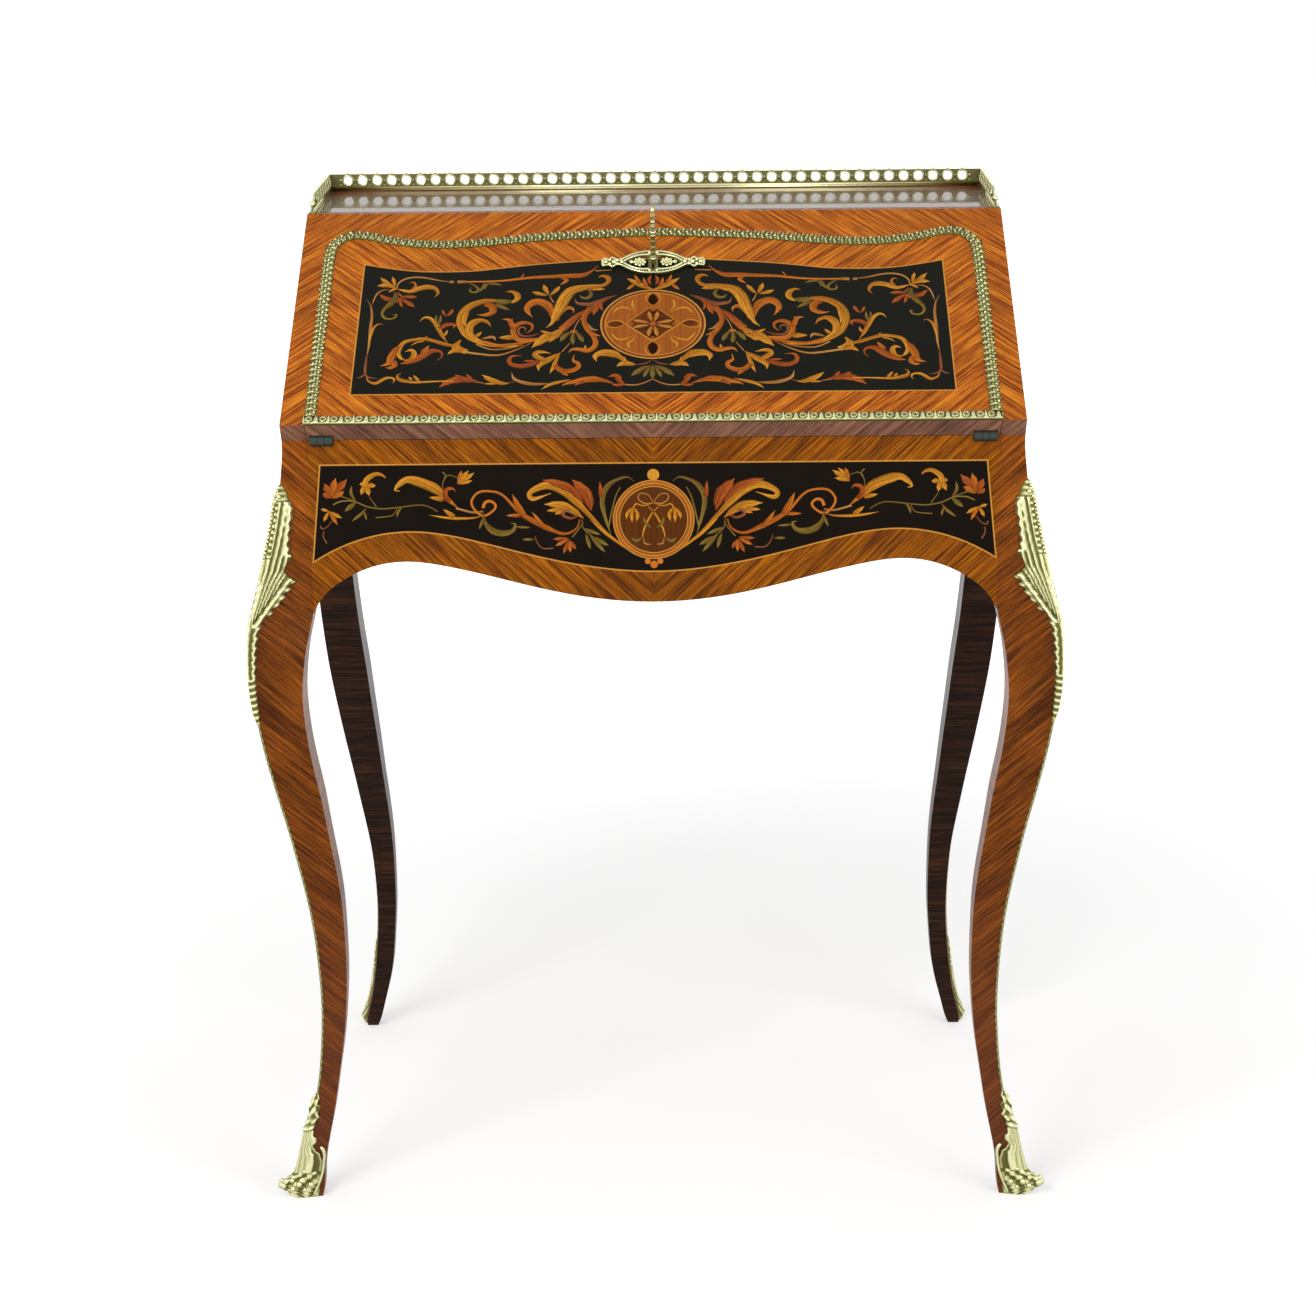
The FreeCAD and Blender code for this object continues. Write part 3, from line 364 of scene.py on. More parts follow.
def brass(name, bright, middle, deep, rough=0.2):
    """Gilt brass: the piece's points say how high its relief stands, and on beads and rods how much a face
    looks towards the light. High values get painted highlights; low ones get painted shade, with dirt in the
    hollows.
    """
    finish = Finish(name)
    grain = finish.speckle(0.45, 5, 0.65)
    level = finish.read("cut").parts()[0] * 1.05 + grain * 0.5 + finish.speckle(0.05, 3) * 0.2 - 0.4
    colour = level.ramp([(0.08, linear(deep)), (0.92, linear(bright)), (0.42, linear(middle))])
    return finish.done(colour, (1 - level) * 0.3 + rough, grain, 0.1, Metallic=1.0)


gilt = brass("gilt_brass", (228, 228, 178), (164, 162, 110), (98, 96, 54))
plain_gilt = brass("gilt_brass_plain", (236, 228, 172), (196, 184, 120), (158, 144, 84))
# Darker gilt for the gallery's and the escutcheon's plates
darker_gilt = brass("gilt_brass_darker", (212, 208, 160), (170, 166, 118), (126, 122, 78))
steel = brass("steel", (176, 172, 162), (132, 128, 118), (96, 92, 84), 0.35)


def inlay():
    """Dyed and scorched veneers of the marquetry: each point carries its colour and its place."""
    finish = Finish("marquetry_veneers")
    w = finish.wire
    along, across, width = finish.read("cut").parts()
    tone = finish.read("tone", "Color")
    grain = w.noise(along * 0.25, across * 2.2, width, detail=3, roughness=0.6)
    edge = across.size()
    broad = width.step(2.4, 4.0)
    scorch = edge.step(0.40, 1.05) * (across.step(-0.6, 0.8) * 0.35 + 0.4)
    vein = (1 - edge.step(0.03, 0.16)) * broad * 0.75
    hatch = w.math("SINE", across * 9 + along * 0.25).step(0.45, 0.95) * broad * 0.5
    colour = tone.shaded(grain * 1.0 + 0.6 - across * 0.26)
    dark = colour.shaded(0.32, 1.1)
    colour = scorch.blend(colour, dark)
    colour = w.math("MAXIMUM", vein, hatch).blend(colour, dark)
    return finish.done(colour, grain * 0.1 + 0.3, grain, 0.02, Specular_IOR_Level=0.06)


marquetry = inlay()


def leather(dark, light):
    """Green hide with a fine pebble, worn lighter in places."""
    finish = Finish("writing_leather")
    pebble = finish.speckle(1.4, 4)
    colour = (pebble * 0.6 + finish.speckle(0.012, 3) * 0.4).blend(linear(dark), linear(light))
    return finish.done(colour, pebble * 0.2 + 0.4, pebble, 0.2)


# Materials by the CAD's slots, and the nodes that have their own
MATERIALS = {
    "leg_veneer": leg_polish(),
    "back_leg_wood": back_leg_polish(),
    "top_veneer": top_polish(),
    # The fall's edges and the sides' front faces take the mauve tones of painted reflection
    "slope_veneer": cased("fall_veneer", (FRONT_LAY, MAUVE_SHEEN_TONES),
                          (OUTWARD, 0.9, INNER_LAY, SLOPE_TONES)),
    "side_veneer": cased("side_veneer", (SIDE_LAY, LEG_TONES), (FORWARD, 0.6, FRONT_LAY, MAUVE_SHEEN_TONES),
                         (OUTWARD, 0.9, OUTER_LAY, SLOPE_TONES)),
    "frieze_veneer": polished("frieze_veneer", FRONT_LAY, FRIEZE_TONES),
    "bed_veneer": polished("bed_veneer", (0, "y", "x"), LEG_TONES),
    "drawer_veneer": polished("drawer_veneer", (0, "z", "x"), SLOPE_TONES),
    "back_wood": polished("back_wood", (0, "x", "z"), BACK_TONES, 0.6),
    "interior_oak": polished("interior_oak", (0, "y", "x", False), OAK_TONES, 0.55),
    "ebonised_marquetry": ebony("fall_ebony", (12, 12, 7), (28, 27, 18)),
    "writing_leather": leather((34, 44, 22), (66, 78, 42)),
    "hinge_metal": brass("hinge_metal", (170, 178, 172), (116, 126, 120), (64, 70, 66), 0.3),
    "screw_steel": steel,
    "lock_steel": steel,
    "gilt_brass": plain_gilt,
}
OWN_MATERIALS = {
    "slope_rail": cased("rail_veneer", (FRONT_LAY, LEG_TONES), (OUTWARD, 0.9, OUTER_LAY, SLOPE_TONES)),
    "frieze_inlay": ebony("frieze_ebony", (8, 5, 2), (26, 17, 9)),
} | dict.fromkeys(("escutcheon", "gallery_back", "gallery_right", "gallery_left"), darker_gilt)
slot_of = {row["node"]: row["material_slot"] for row in frame["record"]["subparts"]}
for node, solid in frame["nodes"].items():
    solid.data.materials.clear()
    solid.data.materials.append(OWN_MATERIALS.get(node, MATERIALS[slot_of[node]]))

scene = bpy.context.scene


def put(name, data):
    """Put an object into the scene."""
    item = bpy.data.objects.new(name, data)
    scene.collection.objects.link(item)
    return item


def worn_and_lit(normal):
    """How bright a face's brass is painted, as painted light from one side: most where it looks up and
    forward.
    """
    return (0.5 + 0.5 * normal.dot(LIGHT_FROM), 0, 0)


class Form:
    """The points and faces of one piece, with the colour and the place that each point carries."""

    def __init__(self):
        self.points, self.faces, self.tones, self.cuts = [], [], [], []

    def add(self, points, faces, tones=None, cuts=None):
        start = len(self.points)
        self.points += points
        self.faces += [[start + i for i in face] for face in faces]
        self.tones += tones or [(1, 1, 1, 1)] * len(points)
        self.cuts += cuts or [(1, 0, 0)] * len(points)

    def rings(self, rings, tones=None, cuts=None, closed=False):
        """Skin a row of rings that have the same number of points."""
        count = len(rings[0])
        faces = []
        for i in range(len(rings) - (0 if closed else 1)):
            after = (i + 1) % len(rings)
            for k in range(count):
                faces.append((i * count + k, i * count + (k + 1) % count,
                              after * count + (k + 1) % count, after * count + k))
        if not closed:
            faces.append(tuple(range(count)))
            faces.append(tuple(range((len(rings) - 1) * count, len(rings) * count)))
        self.add([p for ring in rings for p in ring], faces, tones, cuts)

    def ball(self, centre, radius, tall=1, steps=8):
        """A round bead. Its middle is in metres and its radius in millimetres."""
        rings, cuts = [], []
        for i in range(1, steps):
            turn = math.pi * i / steps
            normals = [Vector((math.sin(turn) * math.cos(a), math.sin(turn) * math.sin(a),
                               -math.cos(turn)))
                       for a in (2 * math.pi * k / (steps + 2) for k in range(steps + 2))]
            rings.append([centre + Vector((n.x, n.y, n.z * tall)) * radius * MM for n in normals])
            cuts += [worn_and_lit(n) for n in normals]
        self.rings(rings, None, cuts)

    def tube(self, path, radius, sides=6, closed=False):
        """A round rod along points in metres. radius is in millimetres, or one for each point."""
        rings, cuts = [], []
        sizes = radius if isinstance(radius, list) else [radius] * len(path)
        last = None
        for i, point in enumerate(path):
            before = path[i - 1] if i or closed else path[0]
            after = path[(i + 1) % len(path)] if i + 1 < len(path) or closed else path[-1]
            ahead = (after - before).normalized()
            side = ahead.orthogonal() if last is None else last - ahead * last.dot(ahead)
            last = side.normalized()
            lift = ahead.cross(last)
            normals = [last * math.cos(a) + lift * math.sin(a)
                       for a in (2 * math.pi * k / sides for k in range(sides))]
            rings.append([point + n * sizes[i] * MM for n in normals])
            cuts += [worn_and_lit(n) for n in normals]
        self.rings(rings, None, cuts, closed=closed)

    def piece(self, name, body, material, slot, replaced=(), smooth=True):
        """Make the piece: it rides on a body and may stand for CAD nodes."""
        mesh = bpy.data.meshes.new(name)
        mesh.from_pydata(self.points, [], self.faces)
        tone = mesh.attributes.new("tone", "FLOAT_COLOR", "POINT")
        tone.data.foreach_set("color", [c for colour in self.tones for c in colour])
        cut = mesh.attributes.new("cut", "FLOAT_VECTOR", "POINT")
        cut.data.foreach_set("vector", [c for place in self.cuts for c in place])
        work = bmesh.new()
        work.from_mesh(mesh)
        bmesh.ops.recalc_face_normals(work, faces=work.faces)
        work.to_mesh(mesh)
        work.free()
        mesh.polygons.foreach_set("use_smooth", [smooth] * len(mesh.polygons))
        mesh.materials.append(material)
        item = put(name, mesh)
        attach(item, body)
        if replaced:
            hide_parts(*replaced)


def smooth_path(points, step=1.5):
    """Points along a smooth curve through the given ones, about a step apart."""
    path = []
    for i in range(len(points) - 1):
        rows = [points[max(i - 1, 0)], points[i], points[i + 1], points[min(i + 2, len(points) - 1)]]
        count = max(2, round(math.dist(rows[1], rows[2]) / step))
        for k in range(count):
            t = k / count
            path.append(tuple(
                b + t / 2 * (c - a + t * (2 * a - 5 * b + 4 * c - d + t * (3 * (b - c) + d - a)))
                for a, b, c, d in zip(*rows)))
    return path + [tuple(points[-1])]


def evened(path, step):
    """A path's points set about a step apart, with its length."""
    lengths = [0]
    for a, b in zip(path, path[1:]):
        lengths.append(lengths[-1] + math.dist(a, b))
    count = max(1, round(lengths[-1] / step))
    even, i = [], 0
    for k in range(count + 1):
        goal = lengths[-1] * k / count
        while i < len(path) - 2 and lengths[i + 1] < goal:
            i += 1
        share = (goal - lengths[i]) / max(lengths[i + 1] - lengths[i], 1e-9)
        even.append(tuple(a + (b - a) * share for a, b in zip(path[i], path[i + 1])))
    return even, lengths[-1]


def sideways(path, closed=False):
    """The direction to the left of a flat path at each point, longer where a corner is mitred."""
    sides = []
    last = len(path) - 1
    for i, point in enumerate(path):
        before = path[i - 1] if i else (path[last] if closed else None)
        after = path[i + 1] if i < last else (path[0] if closed else None)
        turns = []
        for a, b in ((before, point), (point, after)):
            if a and b and math.dist(a, b) > 1e-6:
                length = math.dist(a, b)
                turns.append(((a[1] - b[1]) / length, (b[0] - a[0]) / length))
        if len(turns) == 1:
            turns *= 2
        (a, b), (c, d) = turns
        share = max(1 + a * c + b * d, 0.4)
        sides.append(((a + c) / share, (b + d) / share))
    return sides


def share_of(row, share):
    """A smooth reading of a row of values at a share of its length."""
    place = share * (len(row) - 1)
    i = min(int(place), len(row) - 2)
    t = place - i
    return row[i] + (row[i + 1] - row[i]) * t * t * (3 - 2 * t)


def strip(form, place, path, widths, level, tones, shift=0, closed=False):
    """A thin flat band along a path, with its top at level and its foot sunk in the ground."""
    rings, colours, cuts = [], [], []
    gone = 0
    for i, ((x, y), (a, b), width) in enumerate(zip(path, sideways(path, closed), widths)):
        gone += math.dist(path[i], path[i - 1]) if i else 0
        for side in (-1, 1):
            cuts += [(gone, side, width)] * 2
        colours += [tones[i]] * 4
        low, high = shift - width / 2, shift + width / 2
        rings.append([place(x + a * off, y + b * off, out)
                      for off, out in ((low, SUNK), (low, level), (high, level), (high, SUNK))])
    form.rings(rings, colours, cuts, closed=closed)


# Widths of a cut piece of veneer from its base to its tip, as shares of its greatest width
SHAPES = {
    "line": (1, 1), "stem": (0.5, 1, 1, 0.5), "grow": (0.3, 0.7, 0.95, 1), "horn": (0.9, 1, 0.7, 0.08),
    "leaf": (0.15, 0.75, 1, 0.75, 0.08), "petal": (0.15, 0.8, 1, 0.1),
    "hook": (0.1, 0.55, 1, 0.95, 0.6, 0.08), "whip": (0.12, 1, 0.7, 0.5, 0.35, 0.3),
    "branch": (0.7, 1, 0.85, 0.9, 0.8, 0.9, 1, 0.8, 0.15),
    "plume": (0.1, 0.45, 0.35, 0.4, 0.6, 0.8, 0.95, 1, 0.95, 0.85, 0.65, 0.3, 0.05),
    "coil": (0.15, 0.35, 0.5, 0.8, 0.85, 0.85, 0.9, 1, 0.9, 0.4),
    "sickle": (0.6, 0.9, 1, 1, 0.85, 0.75, 0.7, 0.65, 0.45, 0.35, 0.15),
    "crook": (0.3, 0.8, 1, 0.9, 0.55, 0.45, 0.45, 0.35, 0.3, 0.1),
    "swan": (0.1, 0.2, 0.35, 0.7, 1, 1, 0.8, 0.6, 0.15),
    "scroll": (0.25, 0.4, 0.6, 1, 1, 0.7, 0.5, 0.45, 0.45, 0.45, 0.45, 0.45, 0.5, 0.6),
}
TONES = {
    "gold": (216, 148, 46), "amber": (202, 116, 38), "rust": (178, 92, 38), "pink": (150, 90, 60),
    "olive": (134, 112, 48), "pale": (188, 134, 70), "brown": (160, 86, 28), "dark": (66, 32, 12),
    "umber": (112, 56, 14), "walnut": (90, 46, 10), "copper": (172, 94, 24), "string": (206, 142, 62),
}

# The fall's marquetry, right half: tone, shape, greatest width, then points across and up the slope
FALL_CUTS = [
    # The scroll out of the foot of the medallion
    ("gold", "leaf", 7, (15, 76), (20, 77), (26, 78), (32, 74)),
    ("gold", "horn", 2.5, (24, 79), (25, 84), (26, 87)),
    ("gold", "hook", 9.5, (25, 79), (29, 86), (36, 91), (45, 92), (51, 88), (50, 81)),
    ("pink", "leaf", 1.6, (0, 83), (6, 78), (15, 76)),
    ("olive", "petal", 6, (2, 75), (10, 70), (19, 61)),
    ("olive", "petal", 4, (2, 74), (6, 65), (8, 59)),
    # The garland along the foot
    ("pale", "line", 1.6, (0, 57), (7, 52), (16, 49), (27, 50)),
    ("rust", "leaf", 6, (24, 50), (29, 54), (31, 60), (34, 62), (39, 60)),
    ("rust", "leaf", 4, (24, 50), (31, 49), (36, 50)),
    ("amber", "hook", 8, (34, 51), (43, 55), (52, 57), (61, 56), (68, 54), (75, 52), (80, 49)),
    ("rust", "horn", 4, (60, 54), (65, 52), (69, 49)),
    ("gold", "leaf", 4, (72, 57), (84, 53), (91, 50), (98, 44)),
    ("pale", "leaf", 4.5, (90, 52), (101, 51), (110, 52), (118, 55), (123, 59), (125, 67)),
    ("pink", "line", 1, (122, 54), (130, 53)),
    ("gold", "leaf", 6.5, (127, 52), (135, 53), (144, 58), (151, 64)),
    ("gold", "horn", 2.7, (139, 52), (149, 52)),
    ("pale", "line", 1.3, (149, 53), (158, 55)),
    ("rust", "leaf", 9, (154, 55), (162, 57), (171, 58), (180, 55), (188, 48)),
    ("rust", "horn", 3.5, (161, 59), (165, 65)),
    ("rust", "horn", 4, (169, 60), (175, 64)),
    ("gold", "whip", 4.6, (223, 67), (226, 64), (224, 59), (216, 56), (208, 55), (190, 56), (176, 56)),
    ("gold", "horn", 3.4, (207, 56), (209, 60), (212, 64)),
    ("gold", "horn", 3, (213, 58), (216, 62)),
    # The branch that hangs beside the medallion
    ("amber", "branch", 5.6, (57, 155), (61, 145), (62, 135), (59, 125), (53, 114), (51, 106), (53, 99),
     (59, 95), (66, 97), (72, 97), (75, 93)),
    ("pale", "leaf", 2.6, (59, 133), (55, 125), (49, 123)),
    ("amber", "horn", 3.6, (56, 121), (52, 117), (47, 115)),
    ("gold", "horn", 2.7, (61, 97), (60, 103)),
    # The bell flower on its stem
    ("olive", "petal", 4.6, (71, 121), (72, 113), (71, 104)),
    ("olive", "petal", 4.8, (70, 121), (66, 116), (62, 107)),
    ("olive", "petal", 5.3, (72, 121), (78, 117), (83, 108)),
    ("amber", "stem", 4, (68, 122), (71, 121), (74, 122)),
    ("pale", "line", 1, (61, 145), (66, 138), (70, 128), (71, 121)),
    ("pale", "line", 1, (74, 106), (81, 94)),
    # The twin leaves below it
    ("gold", "leaf", 7, (82, 93), (85, 90), (91, 85), (97, 80), (101, 75), (101, 69)),
    ("gold", "horn", 6, (95, 82), (101, 86), (105, 90), (103, 94), (97, 94), (91, 92)),
    ("rust", "horn", 6, (101, 81), (109, 77), (118, 75), (126, 78), (128, 84), (125, 89), (117, 89)),
    ("rust", "horn", 3, (105, 82), (110, 82), (115, 82)),
    ("gold", "leaf", 4.2, (83, 90), (86, 82), (88, 74), (91, 65)),
    ("amber", "horn", 6, (87, 76), (82, 70), (76, 68), (70, 70), (66, 74), (67, 79), (71, 82), (70, 90)),
    ("amber", "horn", 3.9, (80, 67), (75, 62)),
    # The main stem out of the medallion's side
    ("pink", "leaf", 6, (33, 171), (40, 168), (48, 163), (55, 159), (63, 159), (69, 161), (71, 167)),
    ("rust", "leaf", 6.6, (42, 166), (50, 159), (52, 151), (54, 144)),
    ("rust", "horn", 3.3, (47, 161), (47, 154), (45, 150)),
    ("rust", "horn", 3.6, (54, 156), (57, 149), (59, 144)),
    ("rust", "grow", 8, (58, 152), (68, 143), (76, 132), (82, 124)),
    ("gold", "leaf", 11, (79, 127), (87, 118), (96, 113), (102, 107), (108, 100)),
    ("gold", "horn", 4.3, (84, 117), (89, 112), (93, 107)),
    ("gold", "horn", 4.5, (90, 117), (96, 120), (101, 123)),
    ("amber", "grow", 4.6, (107, 108), (123, 105), (138, 103), (152, 108)),
    ("pale", "grow", 2.7, (109, 106), (122, 97), (138, 90), (156, 92), (169, 95)),
    ("pale", "line", 1.5, (116, 104), (129, 99), (145, 98), (158, 105)),
    # The upper acanthus
    ("gold", "plume", 11.5, (50, 197), (46, 199), (41, 196), (41, 190), (46, 185), (54, 184), (64, 182),
     (74, 178), (80, 168), (84, 155), (88, 143), (91, 133), (96, 127)),
    ("gold", "horn", 5.8, (59, 182), (51, 181), (44, 180)),
    ("olive", "leaf", 4.1, (60, 180), (56, 174), (59, 168), (64, 168), (67, 172)),
    ("amber", "horn", 4.9, (79, 171), (76, 172), (71, 175)),
    ("amber", "horn", 6.3, (88, 137), (86, 145), (81, 152), (76, 155), (72, 152), (72, 147)),
    ("gold", "petal", 4.6, (94, 172), (90, 177), (85, 185)),
    ("gold", "petal", 4.9, (95, 173), (98, 180), (100, 187)),
    ("gold", "petal", 4.9, (96, 172), (103, 174), (110, 177)),
    ("pale", "line", 1.2, (94, 172), (92, 166), (90, 162)),
    ("amber", "hook", 9.3, (90, 135), (92, 147), (96, 158), (104, 163), (110, 161), (114, 154), (112, 147),
     (109, 142)),
    # The snail curl
    ("pink", "leaf", 2.6, (100, 120), (109, 116), (117, 116), (121, 121), (120, 127), (116, 128),
     (114, 124), (116, 121)),
    ("amber", "coil", 6.3, (113, 120), (109, 125), (109, 131), (114, 134), (120, 133), (125, 127),
     (125, 120), (121, 112), (113, 110), (102, 112)),
    ("amber", "horn", 5.7, (125, 125), (127, 131), (130, 138), (136, 139)),
    ("amber", "horn", 2.3, (128, 135), (127, 140)),
    ("gold", "horn", 6.6, (125, 114), (131, 114), (138, 114)),
    # The great scroll
    ("gold", "hook", 6, (134, 177), (129, 178), (124, 174), (123, 168), (127, 163), (132, 162)),
    ("olive", "stem", 6.8, (128, 164), (135, 163), (144, 165)),
    ("olive", "horn", 5.4, (143, 161), (136, 156), (130, 152)),
    ("gold", "sickle", 7.8, (143, 165), (154, 164), (164, 159), (171, 150), (174, 138), (172, 127),
     (167, 117), (157, 109), (146, 104), (133, 102), (118, 103)),
    ("amber", "horn", 7.4, (152, 161), (146, 157), (145, 149), (152, 145), (159, 146)),
    ("gold", "leaf", 5.3, (163, 159), (168, 151), (170, 137), (168, 129)),
    ("gold", "hook", 7.9, (146, 129), (149, 135), (156, 138), (163, 133), (165, 124), (161, 115),
     (152, 109)),
    ("gold", "horn", 4.1, (159, 116), (156, 119), (154, 122)),
    ("pale", "leaf", 3.6, (154, 112), (149, 114), (143, 115), (141, 110)),
    # The vine along the head
    ("amber", "whip", 6.5, (51, 213), (56, 206), (64, 200), (72, 199), (81, 199), (95, 198), (111, 197),
     (124, 195), (137, 193), (155, 192), (171, 192)),
    ("pale", "line", 1.3, (38, 207), (53, 206)),
    ("amber", "horn", 1.8, (121, 197), (118, 203)),
    ("amber", "hook", 4, (87, 198), (79, 194), (81, 190), (85, 187)),
    ("olive", "horn", 3.4, (151, 190), (144, 189), (138, 187)),
    ("olive", "horn", 3.7, (153, 190), (155, 184), (158, 178)),
    ("olive", "horn", 2.5, (151, 189), (153, 185), (153, 181)),
    ("olive", "leaf", 3, (170, 191), (163, 187), (159, 181), (162, 177), (167, 179), (166, 185)),
    ("pale", "line", 4, (171, 192), (179, 192)),
    ("pale", "line", 3.6, (182, 192), (186, 192)),
    ("pale", "stem", 2.3, (184, 192), (195, 194), (208, 198), (219, 199), (228, 196), (233, 190),
     (234, 182)),
    # The flower in the corner
    ("gold", "hook", 6.6, (199, 171), (196, 176), (199, 183), (206, 185), (214, 183), (222, 179),
     (234, 183)),
    ("amber", "horn", 2.7, (220, 182), (217, 187), (219, 192), (223, 191)),
    ("gold", "petal", 3.7, (236, 185), (237, 192), (239, 200)),
    ("gold", "petal", 4.6, (236, 185), (243, 191), (250, 199)),
    ("gold", "petal", 5.6, (236, 184), (244, 188), (252, 187)),
    ("gold", "horn", 3.5, (234, 184), (238, 181), (241, 178)),
    ("rust", "petal", 4.9, (230, 171), (223, 172), (215, 171)),
    ("rust", "petal", 5.2, (230, 170), (223, 164), (216, 157)),
    ("rust", "petal", 3.2, (230, 170), (229, 162), (227, 157)),
    ("rust", "petal", 2.7, (230, 171), (232, 166), (233, 163)),
    ("pink", "leaf", 2.5, (233, 179), (230, 174), (227, 171)),
    ("olive", "crook", 6.4, (235, 178), (234, 171), (238, 162), (243, 155), (245, 148), (242, 142),
     (237, 141), (233, 143), (232, 147), (235, 146)),
    ("rust", "horn", 5.8, (238, 168), (243, 169), (249, 175)),
    ("pale", "leaf", 1.9, (238, 180), (244, 182), (250, 178), (253, 171), (255, 160)),
    # The stem down the outer edge
    ("pale", "leaf", 3.1, (260, 168), (256, 159), (254, 145), (254, 131), (254, 117), (254, 103),
     (255, 88)),
    ("pink", "leaf", 2.7, (255, 95), (255, 81), (255, 70), (253, 63), (248, 61), (243, 60)),
    ("gold", "leaf", 2.8, (243, 133), (247, 134), (251, 129), (253, 120), (254, 108)),
    ("pink", "horn", 2.2, (254, 67), (258, 62), (262, 61)),
    ("gold", "hook", 3.7, (254, 64), (251, 57), (245, 54), (241, 57), (236, 61), (230, 61), (228, 57),
     (230, 54)),
    # The lower branch with its large leaf
    ("gold", "grow", 6.6, (172, 111), (175, 105), (172, 99), (166, 95)),
    ("gold", "horn", 6.3, (170, 96), (177, 97), (183, 92)),
    ("gold", "leaf", 3.8, (177, 107), (178, 102), (178, 98)),
    ("gold", "branch", 4.7, (178, 103), (187, 106), (196, 110), (205, 113), (214, 112), (222, 109),
     (226, 102), (227, 94), (224, 87), (219, 84)),
    ("amber", "leaf", 7.6, (225, 105), (230, 98), (233, 88), (235, 80), (242, 77)),
    ("amber", "horn", 5.7, (231, 84), (229, 78), (233, 74), (237, 75)),
    ("gold", "leaf", 5.6, (223, 86), (218, 84), (214, 88), (213, 94), (216, 98), (221, 96)),
    ("rust", "swan", 7.8, (192, 84), (188, 89), (189, 95), (195, 97), (200, 95), (206, 89), (212, 84),
     (219, 81), (224, 80)),
    ("amber", "horn", 4.9, (206, 94), (203, 99), (200, 104)),
    ("amber", "horn", 2.2, (201, 112), (204, 117)),
    ("gold", "horn", 2.2, (205, 110), (212, 108), (216, 104)),
    # The sprig over it
    ("gold", "leaf", 4.9, (184, 108), (189, 117), (193, 127), (197, 136), (202, 142), (207, 142),
     (210, 137)),
    ("olive", "horn", 3.5, (194, 133), (192, 139), (192, 146)),
    ("olive", "horn", 2.4, (196, 137), (196, 146)),
    ("rust", "horn", 5.4, (192, 127), (187, 132), (181, 133), (178, 131), (180, 127)),
    ("rust", "petal", 3.8, (187, 144), (184, 147), (181, 154)),
    ("rust", "petal", 2.9, (187, 144), (189, 147), (191, 153)),
    ("gold", "horn", 3.1, (189, 117), (186, 120), (185, 125)),
    # The leaves on the medallion's head
    ("gold", "leaf", 6.4, (0, 179), (8, 183), (15, 188), (24, 195)),
    ("amber", "horn", 3.9, (6, 183), (8, 190), (9, 196)),
    ("amber", "horn", 4, (12, 187), (15, 194), (17, 200)),
    ("amber", "leaf", 4, (17, 188), (20, 183), (24, 179)),
    ("rust", "petal", 3.3, (2, 185), (4, 192), (2, 199)),
]

